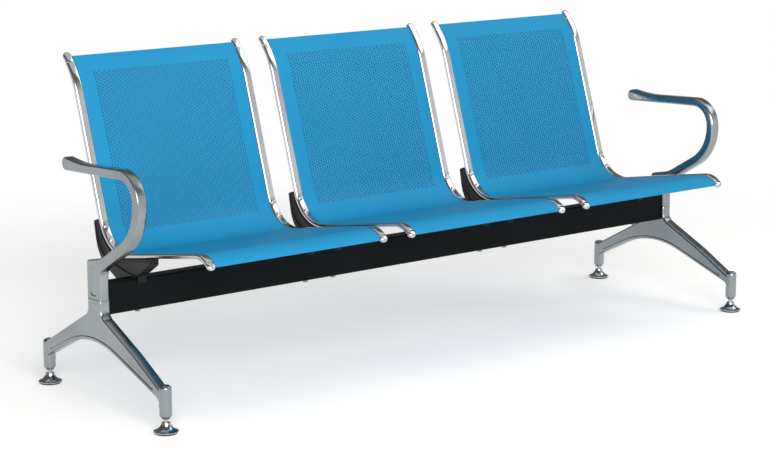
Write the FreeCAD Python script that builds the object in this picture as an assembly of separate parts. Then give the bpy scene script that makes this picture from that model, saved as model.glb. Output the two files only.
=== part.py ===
import FreeCAD, Part
import math
import os

# Three-seat beam bench. Millimetres, +X along the beam, -Y to the sitter's front, +Z up.
# The origin lies on the floor, below the middle of the bench.

V = FreeCAD.Vector

# Layout along the beam
seat_names = ("left", "middle", "right")
seat_pitch = 575.0
rail_spacing = 489.0
rail_to_leg = 104.5

# Beam: black rectangular steel tube
beam_height = 76.0
beam_depth = 38.0
beam_wall = 2.5
beam_corner = 4.0
beam_underside = 219.0
beam_y = 9.25

# Seat line: the front face of the side rails, seen from the side
back_angle = 18.3
curl_angle = 23.0
seat_angle = 10.0
waterfall_angle = 47.3
bend_behind_beam = 115.4
bend_height = 330.1
back_length = 435.8
seat_length = 412.3
curl_length = 61.0
waterfall_length = 35.0
curl_radius = 195.0
bend_radius = 98.0
waterfall_radius = 62.0

# Side rails: chromed flat-oval tube with pressed-in end caps
rail_width = 22.0
rail_depth = 12.0
rail_corner = 5.0
rail_wall = 1.5
top_cap_straight = 20.0
front_cap_straight = 7.0
plug_length = 6.0
plug_clearance = 0.3

# Seat shells: one bent sheet between each pair of rails
sheet = 2.0
sheet_setback = 1.5
side_flange = 8.0
front_lip = 9.0
front_lip_radius = 5.0
top_hem = 12.0
top_hem_radius = 5.0

# Brackets: black castings between the rails and the beam
bracket_width = 24.0
bracket_above_bend = 88.0
bracket_ahead_of_bend = 196.0
bracket_tip_depth = 20.0
bracket_nose_depth = 17.0
bracket_lip = 10.0
bracket_lip_thickness = 5.0
bracket_heel = 12.0
bracket_heel_drop = 39.0
bracket_elbow_back = 42.0
bracket_elbow_drop = 12.0
bracket_elbow_radius = 90.0
bracket_nose_radius = 8.0
bracket_tip_radius = 4.0
bracket_rim = 6.0
bracket_pocket = 2.5
bracket_pocket_corner = 3.0

# Screws and bolts
screw_radius = 3.0
screw_head_radius = 6.0
screw_head_height = 3.2
screw_crown = 1.9
screw_socket_radius = 1.8
screw_socket_depth = 1.9
screw_length = 26.0
screw_angles = (10.0, 32.0)
screw_seat_gap = 0.2
bolt_radius = 4.0
bolt_head_radius = 7.5
bolt_head_height = 5.3
bolt_in_bracket = 22.0
bolt_end_room = 2.0
washer_radius = 9.0
washer_thickness = 1.6
hole_clearance = 0.4
overshoot = 1.0

# Castings: the legs below, the armrests above, one post at each beam end
post_depth = 56.0
casting_width = 28.0
outer_edge = 3.5
inner_edge = 6.0
beam_seat_margin = 6.0

# Leg
front_reach = 281.5
rear_reach = 243.5
leg_shoulder = 2.0
shoulder_radius = 24.0
leg_crown_ahead = 169.5
leg_crown_height = 157.5
leg_crown_radius = 400.0
crotch_behind = 25.5
crotch_height = 177.0
crotch_radius = 280.0
front_root_height = 77.5
rear_root_height = 71.5
root_radius = 16.0
root_inset = 7.0
root_low = 60.0
front_top_at_socket = 98.0
rear_top_at_socket = 104.0
leg_rim = 8.5
leg_pocket = 2.0
leg_pocket_corner = 2.5

# Foot sockets at the ends of each leg
socket_radius = 14.5
socket_bottom = 34.5
socket_top = 112.0
socket_dome = 9.0
socket_bevel_height = 7.0
socket_bevel = 4.5
bush_radius = 9.0
bush_length = 30.0
shaft_room_radius = 7.5
shaft_room_top = 92.0

# Spigots of the castings inside the beam ends
spigot_length = 60.0
spigot_clearance = 0.3
spigot_gap = 1.0
spigot_chamfer = 1.0
spigot_screw_inset = 30.0
spigot_screw_depth = 22.0

# Armrest
arm_front = 205.0
arm_rear = 130.0
arm_thickness = 26.0
arm_root_above_seam = 68.0
arm_lower_rise = 104.0
arm_loop_rise = 156.0
arm_bar_height = 25.0
arm_tail_drop = 6.0
arm_tail_height = 34.0
arm_dip_behind = 55.0
arm_dip_drop = 15.0
arm_dip_radius = 420.0
arm_tail_radius = 15.0
arm_top_radius = 76.0
arm_lower_radius = 130.0
post_top_above_root = 22.0
post_top_rise = 0.2
post_top_blend = 110.0
post_top_corner = 9.0
arm_inner_edge = 8.0
slot_width = 30.0
slot_bottom_gap = 9.0
slot_height = 66.0
slot_corner = 12.0

# Levelling feet: threaded spindle turning in a chromed base on a rubber pad
pad_radius = 26.0
pad_height = 3.5
pad_plug_radius = 24.5
pad_plug_height = 3.0
foot_edge = 1.0
foot_radius = 28.5
foot_rim_height = 3.0
foot_hub_radius = 10.0
foot_hub_top = 25.0
foot_sag = 2.5
collar_radius = 8.0
collar_floor = 12.0
collar_height = 6.7
running_gap = 0.3
spindle_radius = 6.0
spindle_top = 76.0
spindle_chamfer = 1.0
spanner_flat = 10.0
spanner_flat_height = 7.0
spanner_flat_gap = 1.5

# Places worked out from the sizes above
beam_top = beam_underside + beam_height
seam = beam_underside + beam_height / 2
leg_x = seat_pitch + rail_spacing / 2 + rail_to_leg
beam_half = leg_x - casting_width / 2
seat_x = {"left": -seat_pitch, "middle": 0.0, "right": seat_pitch}
side_sign = {"left": -1, "right": 1}


def unit(dy, dz):
    """Unit vector in the side view, as a (y, z) pair."""
    length = math.hypot(dy, dz)
    return dy / length, dz / length


def heading(angle):
    """Direction in the side view that points forwards, raised by an angle in degrees."""
    return -math.cos(math.radians(angle)), math.sin(math.radians(angle))


def downwards(angle):
    """Direction in the side view that points down, leaning forwards by an angle in degrees."""
    return -math.sin(math.radians(angle)), -math.cos(math.radians(angle))


def ahead(point, direction, distance):
    """The point a distance away along a direction in the side view."""
    return point[0] + direction[0] * distance, point[1] + direction[1] * distance


def shifted(route, distance, closed=False):
    """Parallel copy of a route of (y, z, radius) corners, to its left as it is walked."""
    count = len(route)
    copy = []
    for i, (y, z, radius) in enumerate(route):
        has_before = closed or i > 0
        has_after = closed or i < count - 1
        y0, z0, _ = route[i - 1] if has_before else (0, 0, 0)
        y1, z1, _ = route[(i + 1) % count] if has_after else (0, 0, 0)
        before = unit(y - y0, z - z0) if has_before else unit(y1 - y, z1 - z)
        after = unit(y1 - y, z1 - z) if has_after else before
        scale = distance / (1 + before[0] * after[0] + before[1] * after[1])
        turn = before[0] * after[1] - before[1] * after[0]
        grown = radius - math.copysign(distance, turn) if radius else 0
        copy.append((y - scale * (before[1] + after[1]), z + scale * (before[0] + after[0]), grown))
    return copy


def half_corner(before, corner, after):
    """Half of the angle between the two runs that meet at a corner."""
    first = unit(before[0] - corner[0], before[1] - corner[1])
    second = unit(after[0] - corner[0], after[1] - corner[1])
    return math.acos(first[0] * second[0] + first[1] * second[1]) / 2


def arc_setback(before, corner, after, radius):
    """Length that the arc of a corner takes from each of its two runs."""
    return radius / math.tan(half_corner(before, corner, after))


def fitting_radius(before, corner, after, radius, taken_before, taken_after):
    """Radius of a corner's arc, limited to what the neighbouring arcs leave of its two runs."""
    room = min(math.dist(before, corner) - taken_before, math.dist(corner, after) - taken_after)
    return min(radius, room * math.tan(half_corner(before, corner, after)))


def route_edges(route, closed=False, x=0.0):
    """Edges of a route in the side view: straight runs joined by tangent arcs."""
    count = len(route)
    stops = []
    for i, (y, z, radius) in enumerate(route):
        if radius == 0 or (not closed and i in (0, count - 1)):
            stops.append((V(x, y, z), None, V(x, y, z)))
            continue
        y0, z0, _ = route[i - 1]
        y1, z1, _ = route[(i + 1) % count]
        before = unit(y0 - y, z0 - z)
        after = unit(y1 - y, z1 - z)
        half = half_corner((y0, z0), (y, z), (y1, z1))
        setback = radius / math.tan(half)
        start = ahead((y, z), before, setback)
        end = ahead((y, z), after, setback)
        bisector = unit(before[0] + after[0], before[1] + after[1])
        middle = ahead((y, z), bisector, radius / math.sin(half) - radius)
        stops.append((V(x, *start), V(x, *middle), V(x, *end)))
    edges = []
    for i, (start, middle, end) in enumerate(stops):
        if middle is not None:
            edges.append(Part.Arc(start, middle, end).toShape())
        last = i == count - 1
        if last and not closed:
            break
        following = stops[(i + 1) % count][0]
        if end.distanceToPoint(following) > 1e-6:
            edges.append(Part.LineSegment(end, following).toShape())
    return edges


def slab(outline, x_low, x_high):
    """Solid of a closed side-view outline between two places along the beam."""
    face = Part.Face(Part.Wire(route_edges(outline, closed=True, x=x_low)))
    return face.extrude(V(x_high - x_low, 0, 0))


def band(route, near, far):
    """Closed outline between two parallel copies of an open route."""
    back = list(reversed(shifted(route, far)))
    return shifted(route, near) + back


def cylinder(base, axis, radius, length):
    """Solid cylinder from a base point along an axis."""
    return Part.makeCylinder(radius, length, base, axis)


def turned(profile, x=0.0, y=0.0):
    """Solid of revolution of a closed profile about a vertical axis."""
    face = Part.Face(Part.Wire(profile))
    solid = face.revolve(V(0, 0, 0), V(0, 0, 1), 360)
    solid.translate(V(x, y, 0))
    return solid


def profile_lines(points):
    """Straight edges through (radius, height) points in the X-Z plane."""
    corners = [V(r, 0, z) for r, z in points]
    return [Part.LineSegment(a, b).toShape() for a, b in zip(corners, corners[1:])]


def rounded_section(centre, normal, width, depth, corner):
    """Flat-oval wire across a rail: its width runs along X, its depth along the normal."""
    half_x = width / 2
    half_n = depth / 2
    bulge = corner * (1 - math.sqrt(0.5))

    def at(x, n):
        return centre + V(x, 0, 0) + normal * n

    edges = []
    for sx, sn in ((1, 1), (-1, 1), (-1, -1), (1, -1)):
        on_side = at(sx * half_x, sn * (half_n - corner))
        on_face = at(sx * (half_x - corner), sn * half_n)
        middle = at(sx * (half_x - bulge), sn * (half_n - bulge))
        ends = (on_side, on_face) if sx == sn else (on_face, on_side)
        edges.append(Part.Arc(ends[0], middle, ends[1]).toShape())
    closing = []
    for edge, following in zip(edges, edges[1:] + edges[:1]):
        closing.append(edge)
        closing.append(Part.LineSegment(edge.lastVertex().Point, following.firstVertex().Point).toShape())
    return Part.Wire(closing)


def swept(section, route):
    """Solid of a section carried along a side-view route without twisting."""
    pipe = Part.BRepOffsetAPI.MakePipeShell(Part.Wire(route_edges(route)))
    pipe.setBiNormalMode(V(1, 0, 0))
    pipe.add(section, False, False)
    pipe.build()
    pipe.makeSolid()
    return pipe.shape()


def side_edges(shape, sign):
    """Edges where the flat side facing sign * X meets the outline of a casting, off its joints."""
    picked = []
    for edge in shape.Edges:
        middle = edge.CenterOfMass
        at_seam = abs(middle.z - seam) < 0.01
        to_foot = min(abs(middle.y - y) for y in foot_places().values())
        in_socket = middle.z < socket_top and to_foot < root_inset + 0.1
        if at_seam or in_socket:
            continue
        faces = shape.ancestorsOfType(edge, Part.Face)
        if len(faces) != 2:
            continue
        lean = [f.normalAt(*f.Surface.parameter(middle)).x for f in faces]
        on_side = [n for n in lean if n * sign > 0.9]
        on_outline = [n for n in lean if abs(n) < 0.3]
        if len(on_side) == 1 and len(on_outline) == 1:
            picked.append(edge)
    return picked


def hexagon(radius, height):
    """Hexagonal prism that hangs below the origin, its radius measured across the corners."""
    turns = [math.radians(60 * i) for i in range(7)]
    corners = [V(radius * math.cos(turn), radius * math.sin(turn), 0) for turn in turns]
    return Part.Face(Part.makePolygon(corners)).extrude(V(0, 0, -height))


# Seat line

back_down = downwards(back_angle)
curl_down = downwards(back_angle + curl_angle)
seat_forward = heading(seat_angle)
fall_forward = heading(seat_angle - waterfall_angle)
bend_corner = (beam_y + bend_behind_beam, bend_height)
curl_corner = ahead(bend_corner, back_down, -back_length)
curl_tip = ahead(curl_corner, curl_down, -curl_length)
fall_corner = ahead(bend_corner, seat_forward, seat_length)
fall_tip = ahead(fall_corner, fall_forward, waterfall_length)


def seat_line(top_trim=0.0, front_trim=0.0):
    """Route of the rails' front face, from the top of the back to the front of the seat."""
    return [
        (*ahead(curl_tip, curl_down, top_trim), 0),
        (*curl_corner, curl_radius),
        (*bend_corner, bend_radius),
        (*fall_corner, waterfall_radius),
        (*ahead(fall_tip, fall_forward, -front_trim), 0),
    ]


def bend_point(angle, depth):
    """Point behind the rails' front face, an angle into the bend, and the local normal."""
    setback = bend_radius * math.tan(math.radians((90 - back_angle + seat_angle) / 2))
    start = ahead(bend_corner, back_down, -setback)
    to_sitter = (back_down[1], -back_down[0])
    centre = ahead(start, to_sitter, bend_radius)
    turn = math.radians(-back_angle - angle)
    outward = (math.cos(turn), math.sin(turn))
    place = ahead(centre, outward, bend_radius + depth)
    return V(0, *place), V(0, *outward)


def seat_shell():
    """Bent sheet with a front lip, a top hem and a flange along each rail."""
    half = (rail_spacing - rail_width) / 2
    line = seat_line()
    lip_end = (fall_tip[0], fall_tip[1] - front_lip, 0)
    hem_start = (curl_tip[0] + top_hem, curl_tip[1] - top_hem / 2, 0)
    top = (line[0][0], line[0][1], top_hem_radius)
    front = (line[-1][0], line[-1][1], front_lip_radius)
    sheet_route = [hem_start, top] + line[1:-1] + [front, lip_end]
    skin = slab(band(sheet_route, sheet_setback, sheet_setback + sheet), -half, half)
    flange_line = seat_line(top_cap_straight, front_cap_straight)
    flange_outline = band(flange_line, sheet_setback + sheet / 2, sheet_setback + side_flange)
    flanges = [slab(flange_outline, -half, -half + sheet), slab(flange_outline, half - sheet, half)]
    return skin.fuse(flanges).removeSplitter()


def rail_tube():
    """Hollow flat-oval rail, open at both ends and drilled for its bracket screws."""
    route = shifted(seat_line(top_cap_straight, front_cap_straight), rail_depth / 2)
    start = V(0, route[0][0], route[0][1])
    normal = V(0, -curl_down[1], curl_down[0])
    outer = rounded_section(start, normal, rail_width, rail_depth, rail_corner)
    hollow_width = rail_width - 2 * rail_wall
    hollow_depth = rail_depth - 2 * rail_wall
    inner = rounded_section(start, normal, hollow_width, hollow_depth, rail_corner - rail_wall)
    tube = swept(outer, route).cut(swept(inner, route))
    for angle in screw_angles:
        face_point, outward = bend_point(angle, -overshoot)
        hole = cylinder(face_point, outward, screw_radius + hole_clearance, rail_depth + 2 * overshoot)
        tube = tube.cut(hole)
    return tube


def rail_cap(tip, outward, straight):
    """Rounded end cap that carries on the rail's section and plugs into the tube."""
    behind = V(0, -outward[1], outward[0])
    if behind.z > 0:
        behind = behind * -1
    way = V(0, *outward)
    base = V(0, *tip) + behind * (rail_depth / 2) - way * straight
    end = base + way * straight
    root = Part.Face(rounded_section(base, behind, rail_width, rail_depth, rail_corner))
    body = root.extrude(way * straight)
    section = Part.Face(rounded_section(end, behind, rail_width, rail_depth, rail_corner))
    span = 4 * rail_depth
    half_space = Part.makeBox(rail_width, span, span, end - V(0, span / 2, span / 2))
    half_section = section.common(half_space).Faces[0]
    turn = 180 if behind.cross(V(1, 0, 0)).dot(way) > 0 else -180
    nose = half_section.revolve(end, behind, turn)
    shrink = 2 * (rail_wall + plug_clearance)
    plug_corner = rail_corner - rail_wall - plug_clearance
    plug_section = rounded_section(base, behind, rail_width - shrink, rail_depth - shrink, plug_corner)
    plug = Part.Face(plug_section).extrude(way * -plug_length)
    return body.fuse([nose, plug]).removeSplitter()


def with_soft_corners(outline, radius):
    """The same outline with no corner sharper than a radius."""
    return [(y, z, max(corner, radius)) for y, z, corner in outline]


def bracket():
    """Curved casting that hooks over the beam and carries one rail on its front edge."""
    top_front = ahead(bend_corner, back_down, -bracket_above_bend)
    seat_front = ahead(bend_corner, seat_forward, bracket_ahead_of_bend)
    bearing = shifted([(*top_front, 0), (*bend_corner, bend_radius), (*seat_front, 0)], rail_depth)
    rearward = (-back_down[1], back_down[0])
    tip_rear = ahead(bearing[0][:2], rearward, bracket_tip_depth)
    nose_y, nose_z, _ = bearing[2]
    beam_front = beam_y - beam_depth / 2
    beam_rear = beam_y + beam_depth / 2
    lip_front = beam_front - bracket_lip_thickness
    heel_bottom = beam_top - bracket_heel_drop
    elbow = (bend_corner[0] + bracket_elbow_back, bend_corner[1] - bracket_elbow_drop)
    nose = [(nose_y, nose_z, 0), (nose_y, nose_z - bracket_nose_depth, bracket_nose_radius)]
    back = [(*elbow, bracket_elbow_radius), (*tip_rear, bracket_tip_radius)]
    saddle = [
        (lip_front, beam_top + bracket_lip_thickness, bracket_lip_thickness),
        (lip_front, beam_top - bracket_lip, 0),
        (beam_front, beam_top - bracket_lip, 0),
        (beam_front, beam_top, 0),
        (beam_rear, beam_top, 0),
        (beam_rear, heel_bottom, 0),
        (beam_rear + bracket_heel, heel_bottom, bracket_heel / 2),
    ]
    half = bracket_width / 2
    casting = slab(bearing[:2] + nose + saddle + back, -half, half)
    window = bearing[:2] + nose + [(beam_front, beam_top, 0), (beam_rear, beam_top, 0)] + back
    pocket = with_soft_corners(shifted(window, bracket_rim, closed=True), bracket_pocket_corner)
    for low in (-half, half - bracket_pocket):
        casting = casting.cut(slab(pocket, low, low + bracket_pocket))
    casting = casting.cut(cylinder(V(0, beam_y, beam_top), V(0, 0, 1), bolt_radius, bolt_in_bracket))
    for angle in screw_angles:
        mouth, outward = bend_point(angle, rail_depth)
        hole_depth = screw_length - rail_depth + screw_seat_gap
        casting = casting.cut(cylinder(mouth, outward, screw_radius, hole_depth))
    return casting


def rail_screw(angle):
    """Button-head screw through the rail's bend into its bracket."""
    seat, outward = bend_point(angle, -screw_seat_gap)
    shank = cylinder(seat, outward, screw_radius, screw_length)
    head = cylinder(seat, outward * -1, screw_head_radius, screw_head_height)
    crown = [e for e in head.Edges if e.CenterOfMass.distanceToPoint(seat) > screw_head_height - 0.1]
    head = head.makeFillet(screw_crown, [crown[0]])
    socket = cylinder(seat - outward * screw_head_height, outward, screw_socket_radius, screw_socket_depth)
    return head.cut(socket).fuse(shank).removeSplitter()


def beam():
    """Closed-section beam with bolt holes under each bracket and screw holes at its spigots."""
    depth = beam_depth
    box = Part.makeBox(2 * beam_half, depth, beam_height, V(-beam_half, beam_y - depth / 2, beam_underside))
    long_edges = [e for e in box.Edges if e.BoundBox.XLength > beam_half]
    outside = box.makeFillet(beam_corner, long_edges)
    inner_depth = depth - 2 * beam_wall
    inner_height = beam_height - 2 * beam_wall
    corner = V(-beam_half, beam_y - inner_depth / 2, beam_underside + beam_wall)
    hollow = Part.makeBox(2 * beam_half, inner_depth, inner_height, corner)
    long_edges = [e for e in hollow.Edges if e.BoundBox.XLength > beam_half]
    tube = outside.cut(hollow.makeFillet(beam_corner - beam_wall, long_edges))
    for x in rail_places():
        below = V(x, beam_y, beam_underside - overshoot)
        hole = cylinder(below, V(0, 0, 1), bolt_radius + hole_clearance, beam_height + 2 * overshoot)
        tube = tube.cut(hole)
    for sign in (-1, 1):
        for height in spigot_heights():
            mouth = V(sign * spigot_screw_x(), beam_y + beam_depth / 2 + overshoot, height)
            hole = cylinder(mouth, V(0, -1, 0), bolt_radius + hole_clearance, beam_wall + 2 * overshoot)
            tube = tube.cut(hole)
    return tube


def rail_places():
    """Places of the six rails and brackets along the beam."""
    return [seat_x[seat] + side_sign[side] * rail_spacing / 2 for seat in seat_names for side in side_sign]


def spigot_screw_x():
    """Distance of the spigot screws from the middle of the beam."""
    return beam_half - spigot_screw_inset


def spigot_heights():
    """Heights of the spigot screws: first the one in the leg, then the one in the armrest."""
    return [seam - beam_height / 4, seam + beam_height / 4]


def spigot(low, high, screw_height):
    """Block of a casting that slides into the beam end, with its screw hole. Made for the left end."""
    depth = beam_depth - 2 * beam_wall - 2 * spigot_clearance
    corner = V(-beam_half - overshoot, beam_y - depth / 2, low)
    block = Part.makeBox(spigot_length + overshoot, depth, high - low, corner)
    long_edges = [e for e in block.Edges if e.BoundBox.XLength > spigot_length]
    block = block.makeFillet(beam_corner - beam_wall, long_edges)
    entry = [e for e in block.Edges if abs(e.BoundBox.XMin + beam_half - spigot_length) < 0.01]
    block = block.makeChamfer(spigot_chamfer, entry)
    rear = V(-spigot_screw_x(), beam_y + depth / 2 + overshoot, screw_height)
    return block.cut(cylinder(rear, V(0, -1, 0), bolt_radius, spigot_screw_depth + overshoot))


def head_bolt(seat, way, length):
    """Hexagon-head bolt: its head stands on the seat point, its shank runs along the way."""
    turn = FreeCAD.Rotation(V(0, 0, 1), way)
    head = hexagon(bolt_head_radius, bolt_head_height)
    bolt = head.fuse(cylinder(V(0, 0, 0), V(0, 0, 1), bolt_radius, length)).removeSplitter()
    bolt.Placement = FreeCAD.Placement(seat, turn)
    return bolt


def beam_bolt(x):
    """Bolt from below the beam up into one bracket."""
    length = washer_thickness + beam_height + bolt_in_bracket - bolt_end_room
    return head_bolt(V(x, beam_y, beam_underside - washer_thickness), V(0, 0, 1), length)


def beam_washer(x):
    """Washer under the head of one beam bolt."""
    base = V(x, beam_y, beam_underside - washer_thickness)
    disc = cylinder(base, V(0, 0, 1), washer_radius, washer_thickness)
    return disc.cut(cylinder(base, V(0, 0, 1), bolt_radius + hole_clearance, washer_thickness))


def spigot_screw(height):
    """Screw through the beam's rear wall into a spigot. Made for the left end."""
    seat = V(-spigot_screw_x(), beam_y + beam_depth / 2, height)
    return head_bolt(seat, V(0, -1, 0), beam_wall + spigot_clearance + spigot_screw_depth - bolt_end_room)


def leg_outline():
    """Side view of the leg: a post on two arched arms, from the seam down."""
    post_front = beam_y - post_depth / 2
    post_rear = beam_y + post_depth / 2
    front_foot = beam_y - front_reach
    rear_foot = beam_y + rear_reach
    shoulder = beam_underside + leg_shoulder
    return [
        (post_rear, seam, 0),
        (post_front, seam, 0),
        (post_front, shoulder, shoulder_radius),
        (beam_y - leg_crown_ahead, leg_crown_height, leg_crown_radius),
        (front_foot, front_top_at_socket, 0),
        (front_foot, root_low, 0),
        (front_foot + root_inset, root_low, 0),
        (front_foot + root_inset, front_root_height, root_radius),
        (beam_y + crotch_behind, crotch_height, crotch_radius),
        (rear_foot - root_inset, rear_root_height, root_radius),
        (rear_foot - root_inset, root_low, 0),
        (rear_foot, root_low, 0),
        (rear_foot, rear_top_at_socket, 0),
        (post_rear, shoulder, shoulder_radius),
    ]


def leg_pocket_outline():
    """Y-shaped recess in the side of the leg, an even rim inside its outline."""
    outline = leg_outline()
    front_end = beam_y - front_reach + socket_radius + leg_rim
    rear_end = beam_y + rear_reach - socket_radius - leg_rim
    front_lower = slope_height(outline[7], outline[8], front_end)
    rear_lower = slope_height(outline[9], outline[8], rear_end)
    front_upper = slope_height(outline[4], outline[3], front_end)
    rear_upper = slope_height(outline[12], outline[13], rear_end)
    recess = outline[:4] + [(front_end, front_upper, 0), (front_end, front_lower, 0)]
    recess += [outline[8], (rear_end, rear_lower, 0), (rear_end, rear_upper, 0), outline[13]]
    return with_soft_corners(shifted(recess, leg_rim, closed=True), leg_pocket_corner)


def slope_height(start, end, y):
    """Height at a depth y on the straight line between two outline points."""
    share = (y - start[0]) / (end[0] - start[0])
    return start[1] + share * (end[1] - start[1])


def foot_places():
    """The two foot positions of a leg, by name, front to back."""
    return {"front": beam_y - front_reach, "rear": beam_y + rear_reach}


def socket_body(y):
    """Round socket with a domed top and a bevelled mouth."""
    body = cylinder(V(0, y, socket_bottom), V(0, 0, 1), socket_radius, socket_top - socket_bottom)
    top = [e for e in body.Edges if e.BoundBox.ZMin > socket_top - 0.1]
    body = body.makeFillet(socket_dome, top)
    mouth = V(0, y, socket_bottom)
    cone = Part.makeCone(socket_radius - socket_bevel, socket_radius, socket_bevel_height, mouth)
    ring = cylinder(mouth, V(0, 0, 1), socket_radius, socket_bevel_height)
    return body.cut(ring).fuse(cone).removeSplitter()


def socket_bore(y):
    """Bore for the bush, with room above it for the spindle."""
    mouth = V(0, y, socket_bottom)
    bore = cylinder(mouth, V(0, 0, 1), bush_radius, bush_length)
    return bore.fuse(cylinder(mouth, V(0, 0, 1), shaft_room_radius, shaft_room_top - socket_bottom))


def leg():
    """Cast leg, made for the left end of the beam."""
    plate = slab(leg_outline(), -casting_width / 2, casting_width / 2)
    plate = plate.makeFillet(outer_edge, side_edges(plate, -1))
    plate = plate.makeFillet(inner_edge, side_edges(plate, 1))
    casting = plate.fuse([socket_body(y) for y in foot_places().values()])
    half = casting_width / 2
    outer_recess = slab(leg_pocket_outline(), -half, -half + leg_pocket)
    inner_recess = slab(leg_pocket_outline(), half - leg_pocket, half)
    seat_corner = V(0, beam_y - post_depth / 2, beam_underside - beam_seat_margin)
    beam_seat = Part.makeBox(casting_width, post_depth, beam_height, seat_corner)
    casting = casting.cut([outer_recess, inner_recess.cut(beam_seat)])
    for y in foot_places().values():
        casting = casting.cut(socket_bore(y))
    casting.translate(V(-leg_x, 0, 0))
    low = beam_underside + beam_wall + spigot_clearance
    return casting.fuse(spigot(low, seam - spigot_gap / 2, spigot_heights()[0])).removeSplitter()


def armrest_outline():
    """Side view of the armrest, from the seam up."""
    post_front = beam_y - post_depth / 2
    post_rear = beam_y + post_depth / 2
    front = beam_y - arm_front
    rear = beam_y + arm_rear
    root = (post_front, seam + arm_root_above_seam)
    lower = (front, root[1] + arm_lower_rise)
    top = (front, lower[1] + arm_loop_rise)
    dip = (beam_y + arm_dip_behind, top[1] - arm_dip_drop)
    tail_top = (rear, top[1] - arm_tail_drop)
    tail_bottom = (rear, tail_top[1] - arm_tail_height)
    rise = unit(root[0] - front, root[1] - lower[1])
    inner_line = ahead(root, (-rise[1], rise[0]), arm_thickness)
    inner_front = front + arm_thickness
    inner_lower = (inner_front, inner_line[1] + (inner_front - inner_line[0]) * rise[1] / rise[0])
    inner_top = (inner_front, top[1] - arm_bar_height)
    post_corner = (post_rear, root[1] + post_top_above_root)
    post_top = post_corner[1] + (post_rear - inner_line[0]) * post_top_rise
    meeting = (post_top - inner_line[1]) / (post_top_rise + rise[1] / rise[0])
    joint = (inner_line[0] + meeting, post_top - meeting * post_top_rise)
    tail_room = arc_setback(tail_bottom, tail_top, dip, arm_tail_radius)
    top_room = arc_setback(dip, top, lower, arm_top_radius)
    lower_radius = fitting_radius(top, lower, root, arm_lower_radius, top_room, shoulder_radius)
    dip_radius = fitting_radius(tail_top, dip, top, arm_dip_radius, tail_room, top_room)
    inner_radius = lower_radius - arm_thickness
    inner_room = arc_setback(joint, inner_lower, inner_top, inner_radius)
    blend = fitting_radius(post_corner, joint, inner_lower, post_top_blend, post_top_corner, inner_room)
    return [
        (post_rear, seam, 0),
        (*post_corner, post_top_corner),
        (*joint, blend),
        (*inner_lower, inner_radius),
        (*inner_top, arm_top_radius - arm_thickness),
        (*tail_bottom, arm_tail_radius),
        (*tail_top, arm_tail_radius),
        (*dip, dip_radius),
        (*top, arm_top_radius),
        (*lower, lower_radius),
        (*root, shoulder_radius),
        (post_front, seam, 0),
    ]


def armrest():
    """Cast armrest with its post, made for the left end of the beam."""
    casting = slab(armrest_outline(), -casting_width / 2, casting_width / 2)
    casting = casting.makeFillet(outer_edge, side_edges(casting, -1))
    casting = casting.makeFillet(arm_inner_edge, side_edges(casting, 1))
    low = seam + slot_bottom_gap
    half = slot_width / 2
    slot = [(beam_y - half, low), (beam_y + half, low), (beam_y + half, low + slot_height),
            (beam_y - half, low + slot_height)]
    slot = with_soft_corners([(y, z, 0) for y, z in slot], slot_corner)
    casting = casting.cut(slab(slot, -casting_width / 2, -casting_width / 2 + leg_pocket))
    casting.translate(V(-leg_x, 0, 0))
    high = beam_top - beam_wall - spigot_clearance
    return casting.fuse(spigot(seam + spigot_gap / 2, high, spigot_heights()[1])).removeSplitter()


def socket_bush(y):
    """Threaded bush pressed into a foot socket. Made for the left leg."""
    base = V(-leg_x, y, socket_bottom)
    body = cylinder(base, V(0, 0, 1), bush_radius, bush_length)
    return body.cut(cylinder(base, V(0, 0, 1), spindle_radius + running_gap, bush_length))


def foot_spindle(y):
    """Threaded spindle with spanner flats and a collar that turns in the base. Left leg."""
    place = V(-leg_x, y, 0)
    collar = cylinder(place + V(0, 0, collar_floor), V(0, 0, 1), collar_radius, collar_height)
    shaft = cylinder(place + V(0, 0, collar_floor), V(0, 0, 1), spindle_radius, spindle_top - collar_floor)
    tip = [e for e in shaft.Edges if e.BoundBox.ZMin > spindle_top - 0.1]
    shaft = shaft.makeChamfer(spindle_chamfer, tip)
    flat_start = foot_hub_top + spanner_flat_gap
    flat_half = spanner_flat / 2
    for low_y in (-flat_half - spindle_radius, flat_half):
        corner = place + V(-spindle_radius, low_y, flat_start)
        waste = Part.makeBox(2 * spindle_radius, spindle_radius, spanner_flat_height, corner)
        shaft = shaft.cut(waste)
    return collar.fuse(shaft).removeSplitter()


def foot_base(y):
    """Domed base with a captive seat for the spindle collar and a recess for the pad. Left leg."""
    rim_top = pad_height + foot_rim_height
    plug_top = pad_height + pad_plug_height
    bore = spindle_radius + running_gap
    collar_bore = collar_radius + running_gap
    collar_top = collar_floor + collar_height + running_gap
    dome_foot = V(foot_radius, 0, rim_top)
    dome_top = V(foot_hub_radius, 0, foot_hub_top)
    dome_middle = (dome_foot + dome_top) / 2 - V(foot_sag, 0, foot_sag)
    below = [(0, plug_top), (pad_plug_radius, plug_top), (pad_plug_radius, pad_height),
             (foot_radius - foot_edge, pad_height), (foot_radius, pad_height + foot_edge),
             (foot_radius, rim_top)]
    inside = [(foot_hub_radius, foot_hub_top), (bore, foot_hub_top), (bore, collar_top),
              (collar_bore, collar_top), (collar_bore, collar_floor), (0, collar_floor), (0, plug_top)]
    dome = Part.Arc(dome_foot, dome_middle, dome_top).toShape()
    edges = profile_lines(below) + [dome] + profile_lines(inside)
    return turned(edges, -leg_x, y)


def foot_pad(y):
    """Rubber pad under a base. Left leg."""
    plug_top = pad_height + pad_plug_height
    points = [(0, 0), (pad_radius - foot_edge, 0), (pad_radius, foot_edge), (pad_radius, pad_height),
              (pad_plug_radius, pad_height), (pad_plug_radius, plug_top), (0, plug_top), (0, 0)]
    edges = profile_lines(points)
    return turned(edges, -leg_x, y)


def at_end(shape, side):
    """A left-end piece, or its mirror image at the right end."""
    return shape if side == "left" else shape.mirror(V(0, 0, 0), V(1, 0, 0))


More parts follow.
